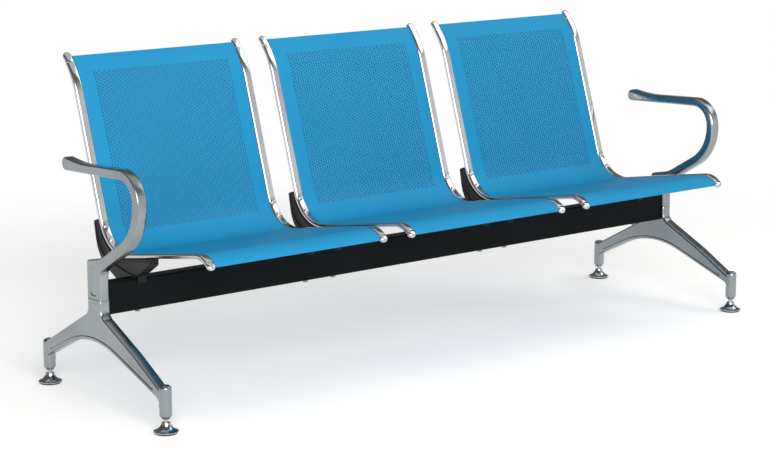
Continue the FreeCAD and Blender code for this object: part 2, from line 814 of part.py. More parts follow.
def moved(shape, x):
    """Copy of a piece moved along the beam."""
    copy = shape.copy()
    copy.translate(V(x, 0, 0))
    return copy


def save(name, *solids):
    """Write one node: a single solid, or a group of separate ones."""
    shape = solids[0] if len(solids) == 1 else Part.makeCompound(list(solids))
    shape.exportStep(os.path.join("parts", name + ".step"))
    loose = [s for s in shape.Solids if not s.isValid() or s.Volume <= 0]
    box = shape.optimalBoundingBox(True, False)
    print(f"{name}: {len(shape.Solids)} solid(s), {shape.Volume:.0f} mm3,", "faulty" if loose else "sound")
    built.append(box)


def save_seats():
    """Seat shells, rails, caps, brackets and their fasteners for every seat."""
    shell = seat_shell()
    tube = rail_tube()
    caps = [rail_cap(curl_tip, (-curl_down[0], -curl_down[1]), top_cap_straight),
            rail_cap(fall_tip, fall_forward, front_cap_straight)]
    casting = bracket()
    screws = [rail_screw(angle) for angle in screw_angles]
    for seat in seat_names:
        rail_x = {side: seat_x[seat] + sign * rail_spacing / 2 for side, sign in side_sign.items()}
        save(f"seat_panel_{seat}", moved(shell, seat_x[seat]))
        for side, x in rail_x.items():
            save(f"rail_{seat}_{side}", moved(tube, x))
            save(f"bracket_{seat}_{side}", moved(casting, x))
        save(f"rail_caps_{seat}", *[moved(cap, x) for x in rail_x.values() for cap in caps])
        save(f"rail_screws_{seat}", *[moved(screw, x) for x in rail_x.values() for screw in screws])
        save(f"beam_bolts_{seat}", *[beam_bolt(x) for x in rail_x.values()])
    save("beam_washers", *[beam_washer(x) for x in rail_places()])


def save_ends():
    """Legs, armrests and levelling feet at both ends of the beam."""
    left_leg = leg()
    left_armrest = armrest()
    for side in side_sign:
        save(f"leg_{side}", at_end(left_leg, side))
        save(f"armrest_{side}", at_end(left_armrest, side))
        save(f"spigot_screws_{side}", *[at_end(spigot_screw(height), side) for height in spigot_heights()])
        save(f"socket_bushes_{side}", *[at_end(socket_bush(y), side) for y in foot_places().values()])
        for row, y in foot_places().items():
            save(f"foot_spindle_{side}_{row}", at_end(foot_spindle(y), side))
            save(f"foot_base_{side}_{row}", at_end(foot_base(y), side))
            save(f"foot_pad_{side}_{row}", at_end(foot_pad(y), side))


built = []
os.makedirs("parts", exist_ok=True)
save("beam", beam())
save_seats()
save_ends()
whole = built[0]
for box in built[1:]:
    whole.add(box)
print(f"overall {whole.XLength:.1f} x {whole.YLength:.1f} x {whole.ZLength:.1f} mm,",
      f"centre y {whole.Center.y:.2f}, bottom {whole.ZMin:.2f}")
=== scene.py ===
import logging
import math
from bisect import bisect_right
from dataclasses import dataclass
from enum import Enum
from functools import cached_property
from typing import Callable, Iterable, Sequence

import bmesh
import bpy
from mathutils import Matrix, Vector


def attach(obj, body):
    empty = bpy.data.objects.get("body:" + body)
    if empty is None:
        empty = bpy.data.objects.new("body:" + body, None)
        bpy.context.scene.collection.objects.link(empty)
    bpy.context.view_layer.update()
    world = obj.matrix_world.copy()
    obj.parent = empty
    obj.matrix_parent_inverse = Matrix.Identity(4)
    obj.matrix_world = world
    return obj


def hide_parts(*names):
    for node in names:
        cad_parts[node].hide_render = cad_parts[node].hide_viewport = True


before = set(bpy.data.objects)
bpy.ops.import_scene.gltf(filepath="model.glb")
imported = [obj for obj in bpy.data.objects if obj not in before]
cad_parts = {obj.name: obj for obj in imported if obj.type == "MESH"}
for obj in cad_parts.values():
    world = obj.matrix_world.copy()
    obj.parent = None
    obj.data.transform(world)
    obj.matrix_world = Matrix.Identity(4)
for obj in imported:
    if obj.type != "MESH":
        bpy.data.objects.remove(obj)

log = logging.getLogger("beam_bench")

# One millimetre in metres
MM = 0.001
# How near two places count as one, in millimetres
TINY = 1e-4
CLOSE = 1e-3
NEAR = 0.01
# How much of a normal has to lie along an axis for its face to look that way
FACING = 0.99
# Step of the arcs, turn of the holes' six-sided cells, and angle from which an edge is shaded sharp
ARC_STEP = math.radians(5.0)
HEX_TURN = math.radians(30.0)
CREASE = math.radians(32.0)
# Recesses: flat strip round them in millimetres, slope of their walls in degrees, steps of their rims
FLAT_STRIP = 0.4
DRAFT = 50.0
DRAFT_STEPS = 3
# Steps across the rounded edge at a seam
SEAM_SEGMENTS = 2
WHITE = (1.0, 1.0, 1.0, 1.0)

Corner = tuple[float, float, float]
Mesh = bmesh.types.BMesh
Vert = bmesh.types.BMVert
Edge = bmesh.types.BMEdge
Tree = bpy.types.NodeTree
Socket = bpy.types.NodeSocket


class Named(Enum):
    """Choice whose name stands in the names of nodes and pieces."""

    @property
    def word(self) -> str:
        """The choice's name in small letters."""
        return self.name.lower()


class Side(Named):
    """End of the bench, or side of a seat, as the sign of its place along the beam."""

    LEFT = -1
    RIGHT = 1


class Seat(Named):
    """Seat of the bench, as its place in whole pitches from the middle."""

    LEFT = -1
    MIDDLE = 0
    RIGHT = 1


class Row(Named):
    """Front or rear foot of a leg."""

    FRONT = 0
    REAR = 1


# Routes in the side view


def leftward(heading: float) -> Vector:
    """Unit vector to the left of a heading in the side view."""
    return Vector((-math.sin(heading), math.cos(heading)))


def ahead(point: Sequence[float], angle: float, distance: float) -> Vector:
    """The point a distance away along a heading given in degrees."""
    turn = math.radians(angle)
    return Vector(point[:2]) + Vector((math.cos(turn), math.sin(turn))) * distance


@dataclass(frozen=True)
class Run:
    """One stretch of a route: a straight line, or an arc where it turns."""

    start: Vector
    heading: float
    length: float
    turn: float = 0.0

    def place(self, along: float) -> tuple[Vector, float]:
        """Point and heading a length along the run.

        Args:
            along: Length from the run's start.

        Returns:
            The (y, z) point and the heading there, in radians.
        """
        if self.turn == 0.0:
            way = Vector((math.cos(self.heading), math.sin(self.heading)))
            return self.start + way * along, self.heading
        radius = self.length / self.turn
        angle = self.heading + along / radius
        centre = self.start + leftward(self.heading) * radius
        return centre - leftward(angle) * radius, angle


@dataclass(frozen=True)
class Route:
    """Route of (y, z, radius) corners in the side view: straight runs joined by tangent arcs."""

    corners: tuple[Corner, ...]
    closed: bool = False

    def ways(self, i: int) -> tuple[Vector, Vector]:
        """Directions of the two lines that meet at a corner.

        Args:
            i: The corner's number.

        Returns:
            The directions before and after it, which are one at an open end.
        """
        here = Vector(self.corners[i][:2])
        before = here - Vector(self.corners[i - 1][:2])
        after = Vector(self.corners[(i + 1) % len(self.corners)][:2]) - here
        if not self.closed and i == 0:
            before = after
        if not self.closed and i == len(self.corners) - 1:
            after = before
        return before.normalized(), after.normalized()

    def shifted(self, distance: float) -> "Route":
        """Parallel copy of the route.

        Args:
            distance: How far the copy lies to the left as the route is walked.

        Returns:
            The parallel route, with its radii grown or shrunk to match.
        """
        copy = []
        for i, (y, z, radius) in enumerate(self.corners):
            before, after = self.ways(i)
            scale = distance / (1 + before.dot(after))
            turn = before.x * after.y - before.y * after.x
            bend = max(radius - math.copysign(distance, turn), TINY) if radius else 0.0
            copy.append((y - scale * (before.y + after.y), z + scale * (before.x + after.x), bend))
        return Route(tuple(copy), self.closed)

    def rounded(self, radius: float) -> "Route":
        """The same route with no corner sharper than a radius."""
        return Route(tuple((y, z, max(bend, radius)) for y, z, bend in self.corners), self.closed)

    @cached_property
    def runs(self) -> list[Run]:
        """The stretches of the route in order."""
        count = len(self.corners)
        stops = []
        for i, (y, z, radius) in enumerate(self.corners):
            here = Vector((y, z))
            if radius <= 0.0 or (not self.closed and i in (0, count - 1)):
                stops.append((here, here, 0.0, 0.0, radius))
                continue
            before, after = self.ways(i)
            turn = math.atan2(before.x * after.y - before.y * after.x, before.dot(after))
            setback = radius * math.tan(abs(turn) / 2)
            heading = math.atan2(before.y, before.x)
            stops.append((here - before * setback, here + after * setback, turn, heading, radius))
        made = []
        for i, (start, end, turn, heading, radius) in enumerate(stops):
            if turn:
                made.append(Run(start, heading, abs(turn) * radius, turn))
            if i == count - 1 and not self.closed:
                break
            gap = stops[(i + 1) % count][0] - end
            made.append(Run(end, math.atan2(gap.y, gap.x), gap.length))
        return made

    @property
    def length(self) -> float:
        """Length of the route along its line."""
        return sum(run.length for run in self.runs)

    def stations(self, start: float, end: float, small_step: float) -> list[float]:
        """Places along the route where a wrapped mesh needs a row.

        Args:
            start: First place.
            end: Last place.
            small_step: Longest row on an arc.

        Returns:
            The places between the first and the last, without these.
        """
        rows = []
        passed = 0.0
        for run in self.runs:
            steps = 1
            if run.turn:
                steps = max(math.ceil(run.length / small_step), math.ceil(abs(run.turn) / (2 * ARC_STEP)))
            rows += [passed + run.length * k / steps for k in range(steps + 1)]
            passed += run.length
        inside = sorted(row for row in rows if start + TINY < row < end - TINY)
        return [row for i, row in enumerate(inside) if i == 0 or row - inside[i - 1] > TINY]

    def wrap(self, bm: Mesh) -> None:
        """Bends a mesh round the route. Its Y is the length along it and its Z the depth behind it.

        Args:
            bm: The straight mesh, bent in place.
        """
        starts = [sum(run.length for run in self.runs[:i]) for i in range(len(self.runs))]
        for vert in bm.verts:
            index = max(bisect_right(starts, vert.co.y) - 1, 0)
            point, heading = self.runs[index].place(vert.co.y - starts[index])
            point = point + leftward(heading) * vert.co.z
            vert.co = (vert.co.x, point.x, point.y)


# Mesh helpers


def only(kind: type, geometry: Iterable) -> list:
    """The parts of one kind among some geometry."""
    return [part for part in geometry if isinstance(part, kind)]


def placed(bm: Mesh, x: float, y: float = 0.0) -> None:
    """Moves a whole mesh."""
    bmesh.ops.translate(bm, verts=bm.verts, vec=(x, y, 0))


def bevelled(bm: Mesh, edges: Sequence, width: float, segments: int) -> None:
    """Rounds some edges with arcs, of which the width is the radius on square edges."""
    bmesh.ops.bevel(bm, geom=list(edges), offset=width, offset_type="OFFSET", segments=segments,
                    profile=0.5, affect="EDGES", clamp_overlap=False, material=-1)


def grown(bm: Mesh, edges: Sequence, step: Vector) -> list:
    """Extrudes border edges and moves the new ones.

    Args:
        bm: The mesh.
        edges: Its border edges.
        step: Where the new edges go from there.

    Returns:
        The new border edges.
    """
    made = bmesh.ops.extrude_edge_only(bm, edges=edges)["geom"]
    fresh = set(only(Vert, made))
    bmesh.ops.translate(bm, verts=list(fresh), vec=step)
    return [edge for edge in only(Edge, made) if all(v in fresh for v in edge.verts)]


def pulled(bm: Mesh, faces: Sequence, step: Sequence[float]) -> list:
    """Extrudes faces into a solid.

    Args:
        bm: The mesh.
        faces: Its faces.
        step: Where the new faces go from there.

    Returns:
        The new faces' vertices.
    """
    verts = only(Vert, bmesh.ops.extrude_face_region(bm, geom=faces)["geom"])
    bmesh.ops.translate(bm, verts=verts, vec=step)
    bmesh.ops.recalc_face_normals(bm, faces=bm.faces)
    return verts


def border(bm: Mesh, axis: int, place: float) -> list:
    """Border edges that lie at one place on an axis."""
    return [e for e in bm.edges if e.is_boundary and all(abs(v.co[axis] - place) < CLOSE for v in e.verts)]


def cut(bm: Mesh, point: Sequence[float], normal: Sequence[float], cleared: bool = False) -> list:
    """Cuts a mesh with a plane.

    Args:
        bm: The mesh.
        point: A point of the plane.
        normal: Its normal.
        cleared: Whether the part that the normal points into goes.

    Returns:
        The edges of the cut.
    """
    geometry = bm.verts[:] + bm.edges[:] + bm.faces[:]
    made = bmesh.ops.bisect_plane(bm, geom=geometry, dist=TINY, plane_co=point, plane_no=normal,
                                  clear_outer=cleared)
    return only(Edge, made["geom_cut"])


def drawn(bm: Mesh, outline: Route, x: float) -> list:
    """Closed wire of an outline. Its point is drawn along the straight runs and spun round the arcs.

    Args:
        bm: The mesh.
        outline: The closed route.
        x: Place along the beam.

    Returns:
        The wire's edges.
    """
    older = set(bm.edges)
    first = last = bm.verts.new((x, *outline.runs[0].start))
    for run in outline.runs:
        if run.turn:
            centre = run.start + leftward(run.heading) * (run.length / run.turn)
            steps = max(2, math.ceil(abs(run.turn) / ARC_STEP))
            made = bmesh.ops.spin(bm, geom=[last], cent=(x, *centre), axis=(1, 0, 0), angle=run.turn,
                                  steps=steps)
            last = only(Vert, made["geom_last"])[0]
        elif run.length > TINY:
            last = bmesh.ops.extrude_vert_indiv(bm, verts=[last])["verts"][0]
            bmesh.ops.translate(bm, verts=[last], vec=(0, *(run.place(run.length)[0] - run.start)))
    bmesh.ops.pointmerge(bm, verts=[first, last], merge_co=first.co)
    return [edge for edge in bm.edges if edge not in older]


def prism(outline: Route, half: float) -> Mesh:
    """Solid of a closed outline, as wide to both sides of the middle.

    Args:
        outline: The closed route.
        half: Half the width along the beam.

    Returns:
        The new mesh.
    """
    bm = bmesh.new()
    face = bmesh.ops.edgeloop_fill(bm, edges=drawn(bm, outline, -half))["faces"][0]
    pulled(bm, [face], (2 * half, 0, 0))
    return bm


def side_face(bm: Mesh, sign: float) -> bmesh.types.BMFace:
    """The largest flat face that looks along the beam in one direction."""
    return max((f for f in bm.faces if f.normal.x * sign > FACING), key=lambda face: face.calc_area())


def rim(bm: Mesh, sign: int, plain: Callable[[Vector], bool]) -> list:
    """Edges round a flat side, without those that stay plain by the place of their middle."""
    edges = side_face(bm, sign).edges
    return [e for e in edges if not plain((e.verts[0].co + e.verts[1].co) / 2)]


def end_rim(bm: Mesh, height: float) -> list:
    """Finds the edges round the largest level face at one height.

    Args:
        bm: The mesh.
        height: The face's height.

    Returns:
        The edges.
    """
    level = [f for f in bm.faces if abs(f.normal.z) > FACING]
    ends = [f for f in level if abs(f.calc_center_median().z - height) < NEAR]
    return list(max(ends, key=lambda face: face.calc_area()).edges)


def recessed(bm: Mesh, outline: Route, x: float, depth: float, radius: float) -> None:
    """Sinks a recess with sloping walls and a rounded rim and foot into a side, inside a flat strip.

    Args:
        bm: The solid.
        outline: The recess's closed outline.
        x: Place of the side along the beam. Its sign is the direction that the side faces.
        depth: Depth of the recess.
        radius: Radius of its rim and foot.
    """
    sign = math.copysign(1, x)
    side = side_face(bm, sign)
    bmesh.ops.inset_region(bm, faces=[side], thickness=FLAT_STRIP, use_even_offset=True)
    bmesh.ops.delete(bm, geom=[side], context="FACES_ONLY")
    slope = math.tan(math.radians(DRAFT))
    turns = [math.radians(DRAFT * k / DRAFT_STEPS) for k in range(DRAFT_STEPS + 1)]
    curve = [(radius * math.sin(turn), radius * (1 - math.cos(turn))) for turn in turns]
    half_run = curve[-1][0] + (depth / 2 - curve[-1][1]) / slope
    rings = [(-half_run - FLAT_STRIP, 0.0)]
    rings += [(inwards - half_run, deep) for inwards, deep in curve]
    rings += [(half_run - inwards, depth - deep) for inwards, deep in curve[::-1]]
    above = None
    for inwards, deep in rings:
        ring = drawn(bm, outline.shifted(inwards), x - sign * deep)
        if above:
            bmesh.ops.bridge_loops(bm, edges=above + ring)
        above = ring
    bmesh.ops.edgeloop_fill(bm, edges=above)
    bmesh.ops.triangle_fill(bm, use_beauty=True, edges=border(bm, 0, x), normal=(sign, 0, 0))


def spun(profile: Sequence[tuple[float, float]], steps: int) -> Mesh:
    """Turns a profile round the vertical axis.

    Args:
        profile: Its (radius, height) points, of which the first and the last lie on the axis.
        steps: Faces round the axis.

    Returns:
        The new mesh.
    """
    bm = bmesh.new()
    verts = [bm.verts.new((radius, 0, height)) for radius, height in profile]
    edges = [bm.edges.new(pair) for pair in zip(verts, verts[1:])]
    bmesh.ops.spin(bm, geom=verts + edges, cent=(0, 0, 0), axis=(0, 0, 1), angle=2 * math.pi, steps=steps,
                   use_merge=True)
    bmesh.ops.remove_doubles(bm, verts=bm.verts, dist=TINY)
    return bm


def arc_points(centre: Sequence[float], radius: float, start: float, end: float, steps: int) -> list:
    """Points of an arc in a turned profile, from one angle to another in degrees."""
    turns = [math.radians(start + (end - start) * k / steps) for k in range(steps + 1)]
    return [(centre[0] + radius * math.cos(turn), centre[1] + radius * math.sin(turn)) for turn in turns]


def circle_through(a: Vector, b: Vector, c: Vector) -> tuple[Vector, float]:
    """Circle through three points.

    Args:
        a: First point.
        b: Second point.
        c: Third point.

    Returns:
        The circle's centre and radius.
    """
    ab = b - a
    ac = c - a
    cross = 2 * (ab.x * ac.y - ab.y * ac.x)
    centre = a + Vector((ac.y * ab.length_squared - ab.y * ac.length_squared,
                         ab.x * ac.length_squared - ac.x * ab.length_squared)) / cross
    return centre, (a - centre).length


def stamped(bm: Mesh, pattern: bpy.types.Mesh, step: Sequence[float]) -> None:
    """Adds a stored mesh to another.

    Args:
        bm: The mesh that grows.
        pattern: The stored mesh.
        step: Where the copy goes from the pattern's own place.
    """
    count = len(bm.verts)
    bm.from_mesh(pattern)
    bm.verts.ensure_lookup_table()
    bmesh.ops.translate(bm, verts=bm.verts[count:], vec=step)


def joined(bm: Mesh, piece: Mesh, x: float = 0.0) -> None:
    """Adds one mesh to another.

    Args:
        bm: The mesh that grows.
        piece: The mesh that is copied.
        x: Where the copy goes along the beam.
    """
    pattern = stored("pattern", piece.copy())
    stamped(bm, pattern, (x, 0, 0))
    bpy.data.meshes.remove(pattern)


def stored(name: str, bm: Mesh) -> bpy.types.Mesh:
    """Stores a mesh, which is used up.

    Args:
        name: The stored mesh's name.
        bm: The mesh.

    Returns:
        The stored mesh.
    """
    mesh = bpy.data.meshes.new(name)
    bm.to_mesh(mesh)
    bm.free()
    return mesh


def in_scene(name: str, data: bpy.types.ID) -> bpy.types.Object:
    """Puts a new object into the scene.

    Args:
        name: The object's name.
        data: Its mesh, lamp or camera.

    Returns:
        The object.
    """
    thing = bpy.data.objects.new(name, data)
    bpy.context.scene.collection.objects.link(thing)
    return thing


# Finishes


def fed(node: bpy.types.Node, inputs: dict) -> None:
    """Fills a node's inputs.

    Args:
        node: The node.
        inputs: Values or sockets by the inputs' names or numbers.
    """
    for name, value in inputs.items():
        if isinstance(value, Socket):
            node.id_data.links.new(value, node.inputs[name])
        else:
            node.inputs[name].default_value = value


def added(tree: Tree, kind: str, inputs: dict | None = None, **settings) -> bpy.types.Node:
    """Adds a shader node.

    Args:
        tree: The node tree.
        kind: The node's type, without its prefix.
        inputs: Values or sockets by the inputs' names or numbers.
        settings: The node's own properties.

    Returns:
        The new node.
    """
    node = tree.nodes.new(f"ShaderNode{kind}")
    for name, value in settings.items():
        setattr(node, name, value)
    fed(node, inputs or {})
    return node


def noise(tree: Tree, place: Socket, scale: float | Socket, detail: float) -> Socket:
    """Adds a noise texture."""
    return added(tree, "TexNoise", {"Vector": place, "Scale": scale, "Detail": detail}).outputs["Fac"]


def ranged(tree: Tree, value: Socket, limits: tuple[float, float], start: float,
           end: float | Socket) -> Socket:
    """Maps a value softly, so that its two limits give the start and the end."""
    inputs = {"Value": value, "From Min": limits[0], "From Max": limits[1], "To Min": start, "To Max": end}
    return added(tree, "MapRange", inputs, interpolation_type="SMOOTHSTEP").outputs["Result"]


def group(name: str, inputs: Sequence[str], outputs: Sequence[str]) -> tuple:
    """Starts a node group whose sockets are colours where their names say so, and numbers elsewhere.

    Args:
        name: The group's name.
        inputs: Names of its inputs.
        outputs: Names of its outputs.

    Returns:
        The tree, the sockets that its inputs give, and its output node.
    """
    tree = bpy.data.node_groups.new(name, "ShaderNodeTree")
    for names, way in ((inputs, "INPUT"), (outputs, "OUTPUT")):
        for socket in names:
            kind = "NodeSocketColor" if "Colour" in socket else "NodeSocketFloat"
            tree.interface.new_socket(socket, in_out=way, socket_type=kind)
    return tree, tree.nodes.new("NodeGroupInput").outputs, tree.nodes.new("NodeGroupOutput")


def surface_wear() -> Tree:
    """Group that varies a finish: cloudy colour and gloss, and fine marks of use.

    Returns:
        The group.
    """
    inputs = ("Colour", "Cloud Colour", "Roughness", "Roughness Spread", "Marks")
    tree, given, result = group("surface wear", inputs, ("Colour", "Roughness"))
    place = added(tree, "TexCoord").outputs["Object"]
    cloud = noise(tree, place, scale=5.0, detail=3.0)
    fine = noise(tree, place, scale=38.0, detail=6.0)
    cloudy = ranged(tree, cloud, limits=(0.35, 0.7), start=0.0, end=1.0)
    spots = ranged(tree, fine, limits=(0.5, 0.75), start=0.0, end=given["Marks"])
    colours = {0: cloudy, 6: given["Colour"], 7: given["Cloud Colour"]}
    colour = added(tree, "Mix", colours, data_type="RGBA").outputs[2]
    gloss = {0: cloud, 1: given["Roughness Spread"], 2: given["Roughness"]}
    spread = added(tree, "Math", gloss, operation="MULTIPLY_ADD").outputs["Value"]
    total = added(tree, "Math", {0: spread, 1: spots}, operation="ADD", use_clamp=True).outputs["Value"]
    fed(result, {"Colour": colour, "Roughness": total})
    return tree


def surface_grain() -> Tree:
    """Group that gives the height of a fine grain over slow waves, for a bump.

    Returns:
        The group.
    """
    tree, given, result = group("surface grain", ("Grain Scale", "Wave Scale", "Wave Share"), ("Height",))
    place = added(tree, "TexCoord").outputs["Object"]
    grain = noise(tree, place, given["Grain Scale"], detail=2.0)
    wave = noise(tree, place, given["Wave Scale"], detail=1.0)
    fed(result, {"Height": added(tree, "Mix", {0: given["Wave Share"], 2: grain, 3: wave}).outputs[0]})
    return tree


@dataclass(frozen=True)
class Finish:
    """A coated, plated, cast or moulded surface. Its slot, the record's name for it, is not used."""

    name: str
    colour: tuple[float, float, float]
    cloud: tuple[float, float, float]
    metallic: float
    roughness: float
    slot: str = ""
    spread: float = 0.08
    marks: float = 0.05
    grain_scale: float = 900.0
    wave_scale: float = 12.0
    wave_share: float = 0.3
    bump: float = 0.00005
    specular: float = 0.5

    def material(self, wear: Tree, grain: Tree) -> bpy.types.Material:
        """Builds the material.

        Args:
            wear: The group that varies colour and gloss.
            grain: The group that gives the grain's height.

        Returns:
            The new material.
        """
        look = bpy.data.materials.new(self.name)
        look.use_nodes = True
        tree = look.node_tree
        worn = added(tree, "Group", {
            "Colour": (*self.colour, 1.0), "Cloud Colour": (*self.cloud, 1.0), "Marks": self.marks,
            "Roughness": self.roughness - self.spread / 2, "Roughness Spread": self.spread,
        }, node_tree=wear).outputs
        height = added(tree, "Group", {
            "Grain Scale": self.grain_scale, "Wave Scale": self.wave_scale, "Wave Share": self.wave_share,
        }, node_tree=grain).outputs["Height"]
        bump = added(tree, "Bump", {"Distance": self.bump, "Height": height}).outputs["Normal"]
        fed(tree.nodes["Principled BSDF"], {
            "Base Color": worn["Colour"], "Roughness": worn["Roughness"], "Normal": bump,
            "Metallic": self.metallic, "Specular IOR Level": self.specular,
        })
        return look


class Surface(Enum):
    """The bench's finishes, and the painted shade of the hole walls."""

    SEAT = Finish("seat coat", (0.0035, 0.245, 0.478), (0.0045, 0.258, 0.495), 0.0, 0.6, "seat_coat",
                  grain_scale=700.0, specular=0.3)
    # Hole walls: a darker blue that is painted shade inside the holes, so that they read as dark dots
    HOLE = Finish("hole wall painted shade", (0.0015, 0.08, 0.185), (0.002, 0.09, 0.2), 0.0, 0.6, specular=0.1)
    CHROME = Finish("rail chrome", (0.60, 0.605, 0.62), (0.50, 0.505, 0.52), 1.0, 0.11, "rail_chrome",
                    wave_scale=34.0, wave_share=0.92, bump=0.0004)
    CAST = Finish("polished casting", (0.335, 0.362, 0.378), (0.27, 0.297, 0.31), 1.0, 0.23, "cast_metal",
                  spread=0.1, marks=0.06, grain_scale=1100.0, wave_scale=25.0, wave_share=0.8, bump=0.00025)
    BEAM = Finish("beam coat", (0.0035, 0.0055, 0.0058), (0.0045, 0.0065, 0.0068), 0.0, 0.42, spread=0.1,
                  grain_scale=800.0, bump=0.00008, specular=0.07)
    BRACKET = Finish("bracket coat", (0.005, 0.0055, 0.006), (0.008, 0.0085, 0.009), 0.0, 0.34,
                     "bracket_coat", spread=0.1, grain_scale=600.0, bump=0.00012, specular=0.2)
    RUBBER = Finish("pad rubber", (0.012, 0.012, 0.012), (0.022, 0.021, 0.02), 0.0, 0.75, "pad_rubber",
                    grain_scale=1500.0, bump=0.0001)
    FOOT = Finish("foot chrome", (0.47, 0.48, 0.49), (0.38, 0.39, 0.40), 1.0, 0.13, "foot_chrome",
                  wave_scale=40.0, wave_share=0.9, bump=0.0003)
    ZINC = Finish("zinc plate", (0.3, 0.305, 0.31), (0.25, 0.255, 0.26), 1.0, 0.45, grain_scale=1200.0)
    SCREW = Finish("plated screw", (0.62, 0.62, 0.63), (0.55, 0.55, 0.56), 1.0, 0.2, grain_scale=1200.0)
    STEEL = Finish("turned steel", (0.5, 0.5, 0.5), (0.43, 0.43, 0.43), 1.0, 0.3, grain_scale=1600.0)


class Dresser:
    """Holds the materials, each built once, and makes and dresses the pieces."""

    def __init__(self) -> None:
        """Builds every material."""
        wear = surface_wear()
        grain = surface_grain()
        self.looks = {surface: surface.value.material(wear, grain) for surface in Surface}

    def piece(self, name: str, master: Mesh, surfaces: Sequence[Surface], node: str, x: float = 0.0,
              y: float = 0.0, body: str = "bench", mirrored: bool = False) -> None:
        """Makes a piece from a copy of a mesh in millimetres and hangs it on its body.

        Args:
            name: Name of the piece.
            master: The mesh that is copied.
            surfaces: Its finishes, in the order of its faces' material numbers.
            node: The node that it stands for.
            x: Where the copy goes along the beam.
            y: Where it goes towards the rear.
            body: The body that it rides on.
            mirrored: Whether the piece is the mirror image for the bench's right end.
        """
        bm = master.copy()
        placed(bm, x, y)
        bmesh.ops.scale(bm, vec=(-MM if mirrored else MM, MM, MM), verts=bm.verts)
        bmesh.ops.recalc_face_normals(bm, faces=bm.faces)
        mesh = stored(name, bm)
        mesh.shade_smooth()
        mesh.set_sharp_from_angle(angle=CREASE)
        for surface in surfaces:
            mesh.materials.append(self.looks[surface])
        piece = in_scene(name, mesh)
        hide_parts(node)
        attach(piece, body)
        log.info("%s: %d faces on %s", name, len(mesh.polygons), body)

    def dress_nodes(self) -> None:
        """Gives the carried-over CAD nodes their materials."""
        named = {"beam": Surface.BEAM, "rail_screws": Surface.SCREW, "beam_bolts": Surface.ZINC,
                 "beam_washers": Surface.ZINC, "spigot_screws": Surface.ZINC,
                 "socket_bushes": Surface.STEEL, "foot_spindle": Surface.STEEL}
        for name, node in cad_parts.items():
            for start, surface in named.items():
                if name == start or name.startswith(start + "_"):
                    for slot in node.material_slots:
                        slot.material = self.looks[surface]
                    log.info("%s: keeps its CAD mesh", name)


# Shared layout


@dataclass(frozen=True)
class Layout:
    """Places that several sub-assemblies share, in millimetres and degrees."""

    seat_pitch: float = 575.0
    rail_spacing: float = 489.0
    leg_x: float = 924.0
    beam_y: float = 9.25
    beam_depth: float = 38.0
    beam_underside: float = 219.0
    beam_height: float = 76.0
    back_angle: float = 18.3
    curl_angle: float = 23.0
    seat_angle: float = 10.0
    waterfall_angle: float = 47.3
    bend_behind_beam: float = 115.4
    bend_height: float = 330.1
    back_length: float = 435.8
    seat_length: float = 412.3
    curl_length: float = 61.0
    waterfall_length: float = 35.0
    curl_radius: float = 195.0
    bend_radius: float = 98.0
    waterfall_radius: float = 62.0
    rail_width: float = 22.0
    rail_depth: float = 12.0

    @property
    def seam(self) -> float:
        """Height of the seam between leg and armrest."""
        return self.beam_underside + self.beam_height / 2

    @property
    def beam_top(self) -> float:
        """Height of the beam's top face."""
        return self.beam_underside + self.beam_height

    @property
    def beam_front(self) -> float:
        """Place of the beam's front face."""
        return self.beam_y - self.beam_depth / 2

    @property
    def beam_rear(self) -> float:
        """Place of the beam's rear face."""
        return self.beam_y + self.beam_depth / 2

    @property
    def bend(self) -> Vector:
        """Corner between back and seat in the side view."""
        return Vector((self.beam_y + self.bend_behind_beam, self.bend_height))

    def seat_x(self, seat: Seat) -> float:
        """Middle of a seat along the beam."""
        return seat.value * self.seat_pitch

    def rails(self, seat: Seat) -> list[tuple[str, float]]:
        """Name and place along the beam of a seat's two rails."""
        step = self.rail_spacing / 2
        return [(f"{seat.word}_{side.word}", self.seat_x(seat) + side.value * step) for side in Side]

    @cached_property
    def seat_line(self) -> Route:
        """The rails' front face in the side view, from the top of the back to the front of the seat."""
        curl = ahead(self.bend, 90 - self.back_angle, self.back_length)
        tip = ahead(curl, 90 - self.back_angle - self.curl_angle, self.curl_length)
        fall = ahead(self.bend, 180 - self.seat_angle, self.seat_length)
        end = ahead(fall, 180 - self.seat_angle + self.waterfall_angle, self.waterfall_length)
        return Route(((*tip, 0.0), (*curl, self.curl_radius), (*self.bend, self.bend_radius),
                      (*fall, self.waterfall_radius), (*end, 0.0)))


@dataclass
class Assembly:
    """Sub-assembly of the bench, with the shared places and the materials."""

    layout: Layout
    dresser: Dresser

    def build_all(self) -> None:
        """Builds and dresses its pieces."""
        raise NotImplementedError


# Seat shells


